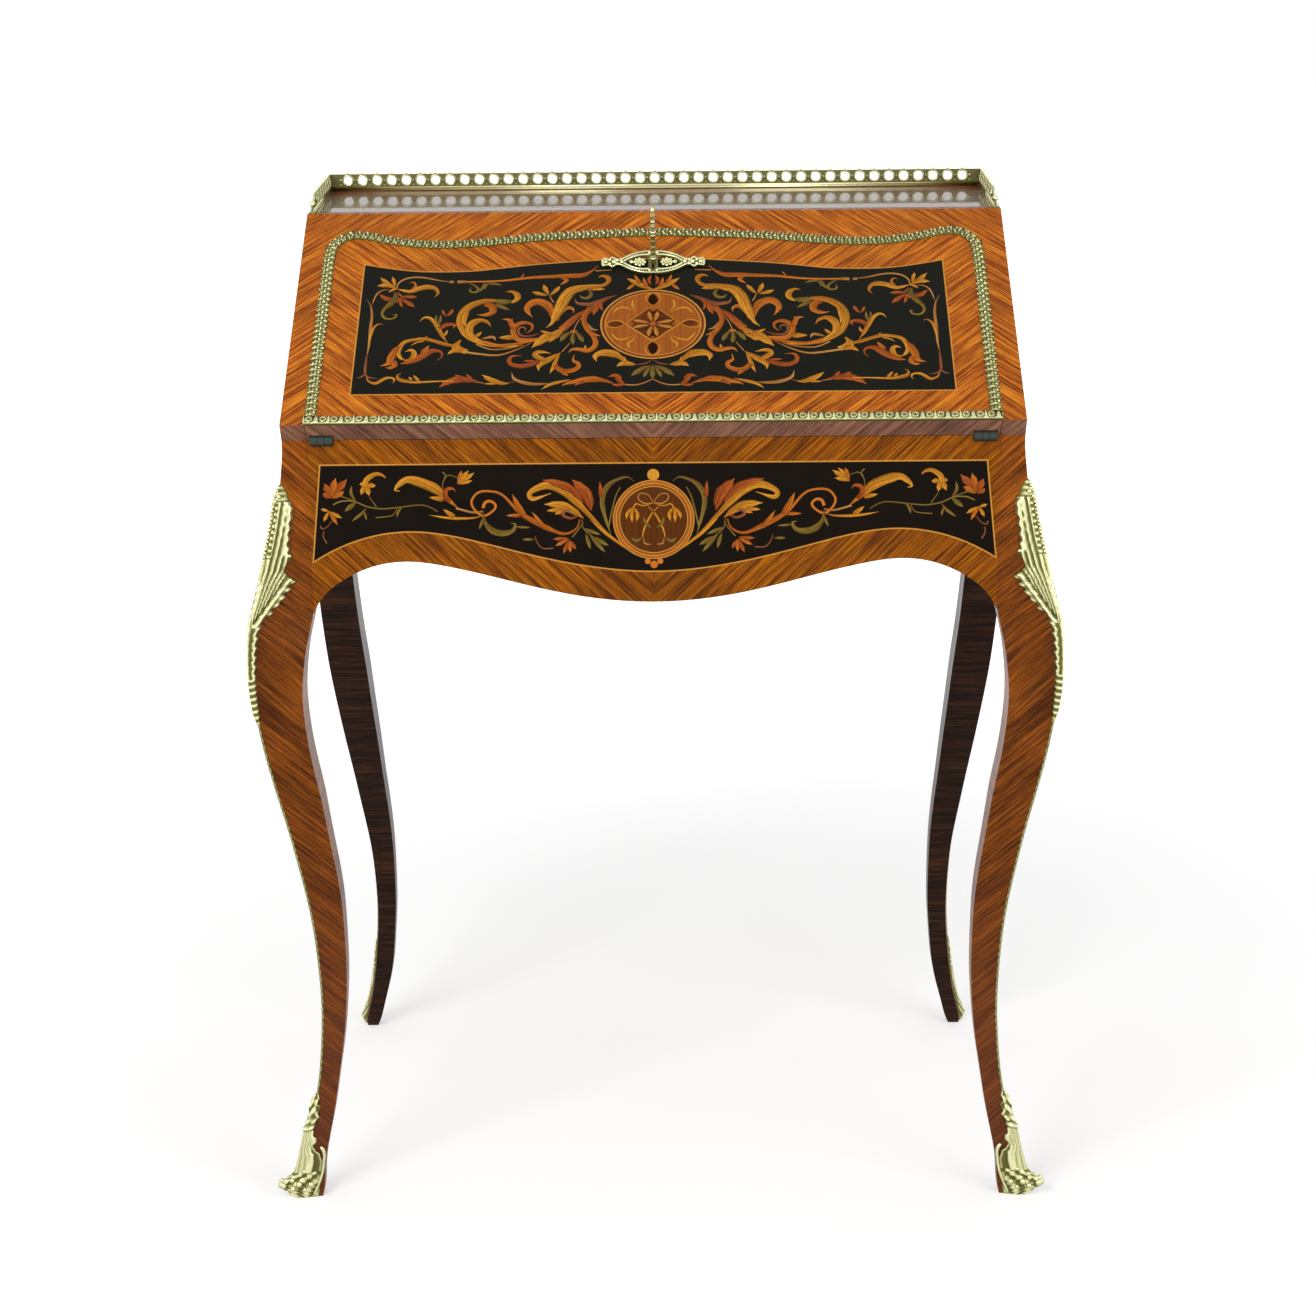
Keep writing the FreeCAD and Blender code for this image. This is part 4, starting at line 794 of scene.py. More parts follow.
# The frieze's marquetry, right half: the same, with points across and above the floor
FRIEZE_CUTS = [
    # The leaves that hold the medallion
    ("olive", "hook", 4.8, (17, 690), (24, 694), (39, 687), (45, 671), (38, 642)),
    ("rust", "horn", 4, (46, 676), (47, 690)),
    ("olive", "line", 1.4, (29, 685), (34, 674), (40, 648)),
    ("gold", "grow", 3.4, (17, 624), (42, 643), (55, 657)),
    # The great plume
    ("gold", "hook", 7.5, (42, 645), (55, 658), (67, 671), (78, 681), (93, 687), (108, 681), (106, 675),
     (90, 680)),
    ("rust", "leaf", 11, (55, 664), (59, 678), (71, 692)),
    ("rust", "leaf", 7.5, (62, 671), (72, 683), (85, 689), (97, 692)),
    ("gold", "leaf", 8, (62, 657), (71, 664), (82, 669), (96, 670)),
    ("gold", "horn", 4, (82, 665), (94, 664)),
    ("gold", "horn", 4, (78, 664), (87, 661)),
    ("pink", "stem", 2.6, (67, 659), (73, 657), (80, 660), (78, 664), (73, 664)),
    # The long scroll with its snail
    ("amber", "scroll", 4.8, (65, 656), (68, 648), (78, 643), (91, 647), (116, 661), (132, 678), (143, 682),
     (154, 681), (160, 673), (157, 665), (150, 660), (142, 664), (139, 669), (143, 673), (148, 672),
     (150, 667)),
    ("amber", "horn", 6, (114, 659), (119, 668), (124, 679)),
    ("amber", "horn", 3.4, (118, 660), (130, 660)),
    ("amber", "horn", 4, (96, 648), (102, 656), (107, 663)),
    ("olive", "hook", 6, (150, 664), (149, 655), (143, 647), (134, 644), (125, 646), (122, 652), (126, 653)),
    ("olive", "horn", 3, (150, 657), (154, 648)),
    ("olive", "leaf", 2.4, (123, 650), (109, 649)),
    # The sprays underneath
    ("olive", "line", 1.1, (63, 656), (62, 648), (55, 641), (44, 633)),
    ("olive", "leaf", 4, (53, 640), (40, 632)),
    ("olive", "leaf", 4, (56, 641), (43, 626)),
    ("olive", "leaf", 3.6, (60, 643), (56, 629)),
    ("olive", "leaf", 3.6, (62, 648), (47, 642)),
    ("olive", "line", 1.1, (62, 653), (67, 646), (72, 640)),
    ("rust", "petal", 3.6, (74, 637), (69, 629)),
    ("amber", "petal", 3.6, (74, 637), (74, 626)),
    ("rust", "petal", 3.6, (75, 637), (80, 625)),
    ("amber", "petal", 3.6, (75, 638), (87, 632)),
    ("rust", "petal", 3.4, (75, 639), (89, 638)),
    ("olive", "leaf", 2.8, (106, 638), (116, 638)),
    ("pink", "line", 1.1, (105, 641), (103, 635), (98, 630), (89, 630)),
    # The acanthus over the scroll's end
    ("pale", "line", 1.9, (150, 664), (159, 663), (174, 667)),
    ("gold", "hook", 9, (172, 667), (181, 675), (194, 686), (214, 693), (223, 689), (227, 684), (223, 683)),
    ("rust", "horn", 4.6, (179, 673), (183, 678), (182, 684), (176, 685), (174, 682)),
    ("gold", "horn", 4.4, (185, 675), (197, 677)),
    ("olive", "line", 1, (185, 683), (185, 690), (182, 696), (185, 700)),
    ("olive", "line", 0.9, (171, 694), (179, 697), (184, 694)),
    ("gold", "petal", 4.2, (172, 689), (157, 699)),
    ("gold", "petal", 3.8, (172, 690), (162, 701)),
    ("amber", "petal", 3.6, (172, 690), (168, 701)),
    ("gold", "petal", 3.4, (172, 689), (159, 692)),
    ("gold", "leaf", 2.6, (150, 661), (159, 658), (179, 658), (198, 661)),
    ("gold", "horn", 4.6, (176, 659), (185, 666)),
    # The vine to the end
    ("olive", "line", 1.3, (190, 664), (203, 670), (226, 668), (239, 667), (252, 669), (264, 674),
     (275, 674), (282, 671)),
    ("olive", "leaf", 2.6, (221, 669), (225, 664), (226, 659)),
    ("olive", "line", 1, (226, 668), (230, 661), (245, 659)),
    ("olive", "leaf", 3, (253, 668), (257, 663), (266, 656)),
    ("olive", "leaf", 2.4, (255, 665), (253, 657)),
    ("olive", "leaf", 3, (262, 674), (266, 681), (265, 688)),
    ("olive", "leaf", 4.6, (262, 673), (272, 665)),
    ("gold", "grow", 5, (235, 695), (239, 698), (245, 698), (252, 693), (253, 688)),
    ("gold", "petal", 4.6, (252, 689), (244, 688)),
    ("gold", "petal", 5, (252, 690), (250, 679)),
    ("gold", "petal", 4.6, (253, 690), (257, 680)),
    ("gold", "petal", 3.6, (253, 690), (258, 689)),
    ("olive", "line", 0.9, (250, 678), (244, 669)),
    ("rust", "petal", 6.6, (284, 678), (269, 694)),
    ("amber", "petal", 6, (284, 678), (279, 695)),
    ("rust", "petal", 6.6, (284, 678), (289, 690)),
    ("rust", "petal", 5, (284, 677), (291, 681)),
    ("amber", "petal", 5.4, (283, 677), (272, 683)),
    ("olive", "line", 1, (262, 674), (279, 680)),
    ("gold", "petal", 3.6, (286, 665), (275, 659)),
    ("amber", "petal", 3.6, (286, 665), (279, 653)),
    ("gold", "petal", 3.4, (286, 665), (291, 656)),
    ("gold", "petal", 3.2, (286, 665), (293, 667)),
    ("pink", "line", 1, (284, 656), (288, 651), (293, 649), (294, 652)),
    ("pink", "line", 1.2, (291, 647), (292, 642), (289, 636)),
]

# Level of each cut piece: the lowest one, the step between neighbours and when it starts again
LOWEST, LIFT, CYCLE = 0.06, 0.008, 26
MEDALLION = (0, 131)
MEDALLION_RADIUS = 47.5


def cut_tones(tone, shares):
    """A cut piece is scorched darker and redder at its base."""
    red, green, blue, _ = linear(TONES[tone])
    return [(red * (0.62 + 0.4 * s), green * (0.48 + 0.52 * s), blue * (0.4 + 0.6 * s), 1)
            for s in shares]


def lay_cuts(form, place, cuts, sides=(1, -1), base=LOWEST):
    """Lay the rows of a marquetry table, each on its own level, on both sides of the middle."""
    for number, (tone, shape, width, *points) in enumerate(cuts):
        for side in sides:
            path = evened(smooth_path([(side * x, y) for x, y in points]), 1.5)[0]
            shares = [i / (len(path) - 1) for i in range(len(path))]
            widths = [width * share_of(SHAPES[shape], share) for share in shares]
            strip(form, place, path, widths, base + LIFT * (number % CYCLE), cut_tones(tone, shares))


def circle_path(centre, radius, steps=72):
    """Points round a circle, without the first one again."""
    return [(centre[0] + radius * math.cos(2 * math.pi * k / steps),
             centre[1] + radius * math.sin(2 * math.pi * k / steps)) for k in range(steps)]


def hoop(form, place, path, width, level, tone, shift=0):
    """A band of even width along a closed path."""
    strip(form, place, path, [width] * len(path), level, [linear(TONES[tone])] * len(path), shift, True)


def disc(form, place, centre, radius, level, tone):
    """A round plate of veneer with its grain across it."""
    rings, cuts = [], []
    for out in (SUNK, level):
        ring = circle_path(centre, radius)
        rings.append([place(x, y, out) for x, y in ring])
        cuts += [(x * 2, 0.2, 1) for x, y in ring]
    form.rings(rings, [linear(TONES[tone])] * len(cuts), cuts)


def rims(node, facing):
    """The outlines of a node's outermost flat face that looks along facing, longest first."""
    mesh = frame["nodes"][node].data
    flat = [face for face in mesh.polygons if face.normal.dot(facing) > 0.999]
    reach = max(face.center.dot(facing) for face in flat)
    places, steps = {}, set()
    for face in flat:
        if face.center.dot(facing) < reach - 0.1 * MM:
            continue
        corners = []
        for index in face.vertices:
            point = mesh.vertices[index].co
            key = tuple(round(c / (0.01 * MM)) for c in point)
            places[key] = point.copy()
            corners.append(key)
        for pair in zip(corners, corners[1:] + corners[:1]):
            if pair[::-1] in steps:
                steps.discard(pair[::-1])
            else:
                steps.add(pair)
    after = dict(steps)
    loops = []
    while after:
        start, now = after.popitem()
        loop = [start]
        while now != start:
            loop.append(now)
            now = after.pop(now)
        loops.append([places[key] for key in loop])
    return sorted(loops, key=lambda loop: -sum((a - b).length for a, b in zip(loop, loop[1:])))


def slope_flat(point):
    """A point of the slope in millimetres across and up it."""
    return (point.x / MM, (point.y / MM - NOSE_Y) * math.cos(SLOPE)
            + (point.z / MM - NOSE_Z) * math.sin(SLOPE))


def front_flat(point):
    return point.x / MM, point.z / MM


STRINGING = 1.4
fall_edge = [slope_flat(point) for point in rims("fall_inlay", OUTWARD)[0]]
frieze_edge = [front_flat(point) for point in rims("frieze_inlay", FORWARD)[0]]

# The fall's marquetry
form = Form()
hoop(form, on_slope, fall_edge, STRINGING, 0.05, "string", -STRINGING / 2)
lay_cuts(form, on_slope, FALL_CUTS)
lay_cuts(form, on_slope, [("olive", "petal", 5, (0, 76), (0, 67), (0, 57))], (1,), 0.2)
disc(form, on_slope, MEDALLION, MEDALLION_RADIUS, 0.30, "brown")
MEDALLION_RINGS = [(0, 1.6, "string", 0.8), (2.6, 0.9, "dark", 0), (4.6, 0.8, "string", 0)]
for inside, width, tone, shift in MEDALLION_RINGS:
    hoop(form, on_slope, circle_path(MEDALLION, MEDALLION_RADIUS - inside), width, 0.34, tone, shift)
MEDALLION_CUTS = [
    ("umber", "line", 11, (0, 148), (9, 139), (17, 131)),
    ("umber", "line", 11, (0, 114), (9, 123), (17, 131)),
    ("umber", "line", 16, (0, 131), (8, 131), (15, 131)),
    ("dark", "leaf", 9, (0, 108), (0, 98), (0, 89)),
    ("dark", "leaf", 9, (0, 155), (0, 164), (0, 173)),
    ("umber", "leaf", 8, (26, 131), (33, 131), (41, 131)),
    ("gold", "line", 1.3, (0, 156), (12, 144), (25, 131), (31, 127), (39, 126), (42, 130), (39, 135),
     (31, 136), (25, 131), (12, 119), (0, 107)),
    ("gold", "line", 1.3, (0, 107), (6, 101), (6, 93), (1, 88), (0, 88)),
    ("gold", "line", 1.3, (0, 156), (6, 162), (6, 169), (1, 174), (0, 174)),
    ("string", "petal", 4.4, (3, 132), (10, 134), (18, 136)),
    ("string", "petal", 4.4, (3, 130), (10, 128), (18, 126)),
    ("string", "petal", 4.4, (1, 134), (3, 141), (4, 148)),
    ("string", "petal", 4.4, (1, 128), (3, 121), (4, 114)),
    ("gold", "hook", 3.4, (15, 116), (25, 110), (32, 110), (38, 119)),
    ("gold", "hook", 3.2, (15, 116), (18, 108), (22, 104), (20, 97)),
    ("gold", "hook", 3.4, (15, 147), (25, 153), (32, 152), (36, 145)),
    ("gold", "hook", 3.2, (15, 147), (19, 156), (18, 165)),
]
lay_cuts(form, on_slope, MEDALLION_CUTS, base=0.36)
disc(form, on_slope, MEDALLION, 2.6, 0.56, "rust")
form.piece("fall_marquetry", "fall", marquetry, "ebonised_marquetry", smooth=False)

# The frieze's marquetry, with a ribbon knot and two tulips in its medallion
FRIEZE_MEDALLION = (0, 655.4)
FRIEZE_RADIUS = 36
form = Form()
hoop(form, on_front, frieze_edge, STRINGING, 0.05, "string", -STRINGING / 2)
lay_cuts(form, on_front, FRIEZE_CUTS)
disc(form, on_front, FRIEZE_MEDALLION, FRIEZE_RADIUS - 5, 0.30, "walnut")
hoop(form, on_front, circle_path(FRIEZE_MEDALLION, FRIEZE_RADIUS - 3), 6, 0.33, "copper")
for inside in (0.5, 3.2, 6):
    hoop(form, on_front, circle_path(FRIEZE_MEDALLION, FRIEZE_RADIUS - inside), 0.9, 0.36, "string")
disc(form, on_front, (0, 696), 5.2, 0.30, "gold")
for x, z, radius in ((0, 614.5, 3.4), (-5.5, 617.5, 2.6), (5.5, 617.5, 2.6)):
    disc(form, on_front, (x, z), radius, 0.36, "amber")
KNOT_CUTS = [
    ("pale", "line", 1.2, (0, 671), (5, 678), (12, 679), (13, 674), (7, 670), (0, 671)),
    ("gold", "stem", 1.8, (5, 668), (-2, 660), (-8, 648), (-10, 640)),
    ("gold", "line", 1.2, (0, 671), (9, 668), (15, 670), (18, 666)),
    ("gold", "petal", 3.4, (18, 667), (14, 661), (15, 654)),
    ("gold", "petal", 3.4, (18, 667), (19, 660), (19, 653)),
    ("gold", "petal", 3.4, (18, 667), (23, 661), (24, 656)),
    ("olive", "leaf", 3, (10, 640), (15, 636), (20, 639)),
    ("pale", "leaf", 1.6, (9, 640), (8, 634), (2, 633)),
    ("olive", "leaf", 3, (2, 648), (7, 652), (9, 658)),
]
lay_cuts(form, on_front, KNOT_CUTS, base=0.36)
form.piece("frieze_marquetry", "carcase", marquetry, "ebonised_marquetry", smooth=False)

# Brass border of the fall: the line of its middle, as shares of its half width and of its height
CREST_SHARES = [(1, .851), (.998, .900), (.993, .931), (.975, .966), (.938, .9935), (.892, .992),
                (.841, .9735), (.781, .956), (.707, .9425), (.633, .9395), (.559, .9455),
                (.482, .955), (.405, .967), (.332, .977), (.257, .984), (.181, .9895),
                (.104, .995), (0, 1)]
moulding_low, moulding_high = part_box("moulding_right")
MOULDING_HALF = (moulding_low[0] + moulding_high[0]) / 2 / MM
BORDER_HALF = 5.4
BORDER_OUT = 0.5
FOOT_TOP = 10.6


def full_edge(along):
    """The foot run is equally wide all along."""
    return BORDER_HALF


def cast_run(form, path, height, edge):
    """A cast border along a path on the slope. height gives its relief along and across, and edge
    its half width along, in millimetres."""
    path, length = evened(path, 0.7)
    rings, cuts = [], []
    for i, ((x, y), (a, b)) in enumerate(zip(path, sideways(path))):
        along = length * i / (len(path) - 1)
        reach = edge(along)
        # Each point carries how bright its brass is painted: high relief a painted highlight, low relief and
        # the sunk edges painted shade
        ring = [on_slope(x - a * reach, y - b * reach, SUNK)]
        cuts.append((0, 0, 0))
        for k in range(15):
            across = reach * (k / 7 - 1) * 0.98
            relief = height(along, across)
            ring.append(on_slope(x + a * across, y + b * across, relief))
            cuts.append((smooth_step(0.9, 3.2, relief), 0, 0))
        ring.append(on_slope(x + a * reach, y + b * reach, SUNK))
        cuts.append((0, 0, 0))
        rings.append(ring)
    form.rings(rings, None, cuts)


LEAF_PERIOD = 7.4
SPRAY_PERIOD = 22


def leaf_edge(along):
    """The leafy run is nicked between its husks."""
    return BORDER_HALF - 0.7 * abs(math.sin(math.pi * (along / LEAF_PERIOD - 0.25))) ** 4


def leaf_relief(along, across):
    """Husks that arch across the border, each with a cluster of small lobes below it."""
    gone = (along + 0.05 * across ** 2 + 0.4 * math.sin(0.31 * along)) / LEAF_PERIOD % 1
    wear = 0.78 + 0.22 * math.sin(0.83 * along + 0.7 * across)
    arch = hump(gone, 0.25, 0.16) * (0.82 + 0.18 * math.cos(2.2 * across))
    lobes = 0
    for x, rise, size in ((0, 0.72, 1.6), (3.1, 0.66, 1.3), (-3.1, 0.66, 1.3)):
        lobes = max(lobes, hump(math.hypot(across - x, (gone - rise) * LEAF_PERIOD), 0, size))
    return 0.5 + 2.9 * max(arch, lobes) * wear


def spray_relief(along, across):
    """Pointed leaves, broad and narrow in turn, with a scroll on each side, over a plain fillet."""
    place = abs(along % SPRAY_PERIOD - SPRAY_PERIOD / 2)
    rise = (across + 4) / 9
    slim = max(1 - rise, 0.05) ** 0.6
    leaf = max(0, 1 - (place / (3.6 * slim)) ** 2, 1 - ((11 - place) / (2.4 * slim)) ** 2) * (rise > 0)
    scroll = hump(math.hypot(place - 6.2, across - 0.6), 2.5, 0.8)
    curl = hump(math.hypot(place - 6.6, across - 0.9), 0, 0.8)
    line = hump(across, -4.7, 0.7)
    return 0.4 + 2.7 * leaf * (1 - 0.4 * hump(place, 0, 0.5)) + 2.4 * scroll + 1.8 * curl + 2.5 * line


crest = [(x * MOULDING_HALF, y * CREST_HEIGHT) for x, y in CREST_SHARES]
half_line = [(x + BORDER_OUT, y) for x, y in [(MOULDING_HALF, FOOT_TOP)] + smooth_path(crest, 2)[:-1]]
half_line.append(crest[-1])
form = Form()
for side in (1, -1):
    cast_run(form, [(side * x, y) for x, y in half_line], leaf_relief, leaf_edge)
form.piece("moulding_leaves", "fall", gilt, "gilt_brass",
           ("moulding_crest", "moulding_right", "moulding_left"))
form = Form()
foot_end = MOULDING_HALF + BORDER_OUT + BORDER_HALF
foot_line = FOOT_TOP + 0.4 - BORDER_HALF
cast_run(form, [(-foot_end, foot_line), (foot_end, foot_line)], spray_relief, full_edge)
form.piece("moulding_sprays", "fall", gilt, "gilt_brass", ("moulding_foot",))


# Cast mounts of the legs, draped over the legs' own surface
OUTSIDE = 500
FAR = Vector((362, 238))
LIMIT = Vector((cad_box[1][0], cad_box[1][1])) / MM - Vector((0.1, 0.1))
ACROSS = [k / 24 for k in range(-24, 25)]
CORNER_POWER = 2.4


def edge_of(feel, z, far):
    """How far out a face reaches at a height, found by feeling inwards and halving."""
    inner = far
    while feel(inner, z) is None:
        inner -= 2
    outer = inner + 2
    for _ in range(8):
        middle = (inner + outer) / 2
        if feel(middle, z) is None:
            outer = middle
        else:
            inner = middle
    return inner


class Leg:
    """The outer faces of a leg, felt out from its solid. Rays come from OUTSIDE, and the edges are
    looked for from FAR, which are both clear of the desk."""

    def __init__(self, node, side, end):
        mesh = frame["nodes"][node].data
        self.tree = BVHTree.FromPolygons([v.co for v in mesh.vertices],
                                         [tuple(face.vertices) for face in mesh.polygons])
        self.side, self.end = side, end

    def front(self, x, z):
        """The y of the front or back face at a place, or None off the leg."""
        hit = self.tree.ray_cast(Vector((self.side * x, self.end * OUTSIDE, z)) * MM,
                                 Vector((0, -self.end, 0)))[0]
        return hit and self.end * hit.y / MM

    def flank(self, y, z):
        """The x of the outer side face at a place, or None off the leg."""
        hit = self.tree.ray_cast(Vector((self.side * OUTSIDE, self.end * y, z)) * MM,
                                 Vector((-self.side, 0, 0)))[0]
        return hit and self.side * hit.x / MM

    def corner(self, z):
        """How far out the front face and the outer side face reach at a height."""
        return edge_of(self.front, z, FAR.x), edge_of(self.flank, z, FAR.y)

    def section(self, z, reach, side, ahead):
        """A mount's outline at a height, and the directions out of it, from the front face (-1 in
        ACROSS) over the corner (0) to the outer side face (1). It covers reach of each face, and its
        corner stands out sideways and ahead."""
        x_edge, y_edge = self.corner(z)
        outline = []
        for u in ACROSS:
            spread = 1 - abs(u)
            swell = (1 - abs(u) ** CORNER_POWER) ** 0.8
            if u < 0:
                x = x_edge - reach + (reach + side) * spread
                wood = self.front(min(x, x_edge - 0.1), z) or y_edge
                outline.append(Vector((x, wood + ahead * swell)))
            else:
                y = y_edge - reach + (reach + ahead) * spread
                wood = self.flank(min(y, y_edge - 0.1), z) or x_edge
                outline.append(Vector((wood + side * swell, y)))
        for _ in range(12):
            outline = outline[:1] + [(a + 2 * b + c) / 4 for a, b, c in
                                     zip(outline, outline[1:], outline[2:])] + outline[-1:]
        outward = []
        for i in range(len(outline)):
            onward = outline[min(i + 1, len(outline) - 1)] - outline[max(i - 1, 0)]
            outward.append(Vector((onward.y, -onward.x)).normalized())
        if outward[len(outward) // 2].dot(Vector((1, 1))) < 0:
            outward = [-normal for normal in outward]
        return outline, outward, Vector((x_edge, y_edge))

    def point(self, place, z):
        """A point in the desk, kept within LIMIT, which is just inside the CAD's box."""
        return Vector((self.side * min(place.x, LIMIT.x), self.end * min(place.y, LIMIT.y), z)) * MM


def read_rows(rows, share):
    """A smooth reading of rows of a share and its values."""
    for (a, *low), (b, *high) in zip(rows, rows[1:]):
        if share <= b:
            t = smooth_step(a, b, share)
            return [p + (q - p) * t for p, q in zip(low, high)]
    return rows[-1][1:]


class Mount(Form):
    """A cast mount on a leg, from low to high. Each row gives a share of its height, its reach over
    each face and how far its corner stands sideways and ahead."""

    def __init__(self, leg, low, high, rows):
        super().__init__()
        self.leg, self.low, self.high, self.rows = leg, low, high, rows

    def carve(self, relief_of, step=1.0):
        """Skin the mount. relief_of gives the carving and its depth."""
        rings, cuts = [], []
        leg = self.leg
        count = round((self.high - self.low) / step)
        for i in range(count + 1):
            share = i / count
            z = self.low + (self.high - self.low) * share
            reach, side, ahead = read_rows(self.rows, share)
            outline, outward, corner = leg.section(z, reach, side, ahead)
            ring = []
            for u, place, normal in zip(ACROSS, outline, outward):
                carved, depth = relief_of(share, u, abs(u) * reach)
                off = 0.4 + carved * depth * (1 - u ** 8) if abs(u) < 0.99 else -0.6
                ring.append(leg.point(place + normal * off, z))
                # How bright the brass is painted: high carving a painted highlight, low carving and the
                # edges against the wood painted shade
                cuts.append((smooth_step(-0.7, 1.2, carved) * (1 - u ** 10), 0, 0))
            inner = corner - Vector((1, 1)) * 0.75 * reach
            flank, front = leg.flank(inner.y, z) or corner.x, leg.front(inner.x, z) or corner.y
            for place in ((flank - 2, inner.y), corner - Vector((2, 2)), (inner.x, front - 2)):
                ring.append(leg.point(Vector(place), z))
                cuts.append((0, 0, 0))
            rings.append(ring)
        self.rings(rings, None, cuts)

    def bead(self, z, u, radius, sunk=0.4):
        """A bead on the mount's surface."""
        reach, side, ahead = read_rows(self.rows, (z - self.low) / (self.high - self.low))
        outline, outward, _ = self.leg.section(z, reach, side, ahead)
        i = min(range(len(ACROSS)), key=lambda k: abs(ACROSS[k] - u))
        place = outline[i] + outward[i] * radius * (1 - sunk)
        place = Vector((min(place.x, LIMIT.x - radius), min(place.y, LIMIT.y - radius)))
        self.ball(self.leg.point(place, z), radius)


# Rows of the chute: share of its height, reach, and how far the corner stands out
CHUTE_HEIGHT = 212
CHUTE_TOP = BED_HEIGHT - 39
CHUTE_FOOT = CHUTE_TOP - CHUTE_HEIGHT
RIBBED_WIDTH = 16
CHUTE_ROWS = [(0, 1.4, 1.2), (.05, 2.6, 2.4), (.14, 3.2, 3.0), (.29, 4.8, 3.2), (.39, 5.6, 3.4),
              (.434, 7, 3.8), (.48, 14, 4.2), (.524, 21, 4.4), (.575, 25, 4.6), (.60, 26.5, 4.6),
              (.62, 20, 4.8), (.646, 15.5, 4.8), (.675, 18.5, 4.8), (.703, 20.5, 4.8),
              (.725, 16.5, 4.8), (.79, 15, 4.6), (.844, 14.5, 4.4), (.88, 15, 4.2), (.925, 12.5, 3.8),
              (.945, 8, 3.0), (.965, 7, 2.6), (.985, 4, 1.8), (1, 1.6, 0.8)]


def chute_rows():
    """The chute's rows with the scalloped edge of its leaf and of its tail."""
    rows = []
    for up in range(CHUTE_HEIGHT + 1):
        share = up / CHUTE_HEIGHT
        reach, out = read_rows(CHUTE_ROWS, share)
        if .45 < share < .60:
            reach *= 1 + 0.10 * math.sin(2 * math.pi * up / 6.5)
        elif .70 < share < .92:
            reach *= 1 + 0.07 * math.sin(2 * math.pi * up / 9)
        elif share < .42:
            reach *= 1 + 0.18 * math.sin(2 * math.pi * up / (6 if share < .20 else 8.5))
        rows.append((share, reach, out, out))
    return rows


def chute_carving(share, u, out):
    """A scrolled head, a ribbed leaf that curls over at its tips, and a tail of husks. Its ribs keep
    clear of the scallops along its edge."""
    up = share * CHUTE_HEIGHT
    size = abs(u)
    if share > .93:
        return math.cos(2 * math.pi * up / 5) * (1 - size), 0.6
    if share > .70:
        scroll = 1.7 * hump(size, 0.84 - 1.6 * (share - .70) * (1 - size), 0.09)
        net = 1
        for slant in (up + 14 * u, up - 14 * u):
            net *= abs(math.sin(math.pi * slant / 5.2))
        rib = math.cos(2 * math.pi * 4 * out / RIBBED_WIDTH)
        rib = 0.1 + 0.8 * rib * smooth_step(0.86, 0.70, size)
        return (1.5 * net - 0.6 if size < 0.26 else rib) + scroll, 1.0
    if share > .42:
        width = 5 + (RIBBED_WIDTH - 5) * smooth_step(.40, .72, share)
        fold = 0.8 * math.cos(2 * math.pi * 4 * out / width) + 0.1
        crease = 19 * (share - .42) / .18
        leaf = 0.5 - 0.7 * math.cos(2 * math.pi * (out - crease) / 5.2)
        outer = smooth_step(crease - 0.6, crease + 0.6, out) if share < .615 else 0
        gap = 1.6 * hump(out, crease, 0.9) if .44 < share < .615 else 0
        return fold * (1 - outer) + leaf * outer - gap + 1.2 * hump(u, 0, 0.10), 1.1
    if share > .20:
        return 0.8 * math.cos(3 * math.pi * size) + 0.4 * math.cos(2 * math.pi * up / 4.2) * size, 0.6
    gone = (up / 6) % 1
    return math.cos(2 * math.pi * gone) * 0.9 + 0.1, 0.45


CHUTE_BEADS = [(.955, 0.3, 2.3), (.955, -0.3, 2.3), (.978, 0, 1.7), (.935, 0, 2.6), (.60, 0.86, 2.0),
               (.60, -0.86, 2.0), (.703, 0.86, 1.8), (.703, -0.86, 1.8)]


def chute(leg, label):
    """The knee's casting, with beads down its corner."""
    form = Mount(leg, CHUTE_FOOT, CHUTE_TOP, chute_rows())
    form.carve(chute_carving)
    for i in range(17):
        form.bead(CHUTE_FOOT + CHUTE_HEIGHT * (.68 + .0155 * i), 0, 1.7)
    for share, u, radius in CHUTE_BEADS:
        form.bead(CHUTE_FOOT + CHUTE_HEIGHT * share, u, radius, 0.7)
    form.piece("chute_cast_" + label, "carcase", gilt, "gilt_brass", ("chute_" + label,))


# Rows of the sabots: share of the height, reach, and how far the corner stands sideways and ahead
SABOT_FOOT = 0.3
SABOT_HEIGHT = 100
SABOT_ROWS = [(0, 12.5, 8.5, 1.6), (.05, 13.2, 15.8, 3), (.095, 13.6, 22.4, 4), (.135, 13.8, 25, 4.6),
              (.18, 13.8, 21.5, 4.6), (.215, 13.8, 15.4, 4.2), (.27, 13.8, 11.2, 4), (.34, 13.8, 10.4, 4),
              (.42, 11, 9, 4), (.46, 6, 8.6, 4), (.50, 3.4, 8.2, 4), (.54, 6.2, 7.6, 4), (.58, 6.0, 7.2, 4),
              (.61, 2.6, 7.0, 4), (.65, 2.0, 6.8, 4), (.69, 2.8, 7.8, 5), (.73, 3.6, 5.8, 3.6),
              (.78, 6.2, 5.4, 3.4), (.82, 3.6, 4.6, 3), (.87, 5.6, 5, 3), (.91, 2.6, 3.6, 2.4),
              (.95, 3.6, 4.2, 2.2), (1, 1.2, 1.4, 0.8)]
BACK_SABOT_ROWS = [(0, 8, 2.2, 2.2), (.06, 10, 5, 5), (.13, 10.5, 3.6, 3.6), (.22, 9.6, 2.2, 2.2),
                   (.5, 8, 1.8, 1.8), (.8, 5.4, 1.6, 1.6), (1, 2, 1, 1)]


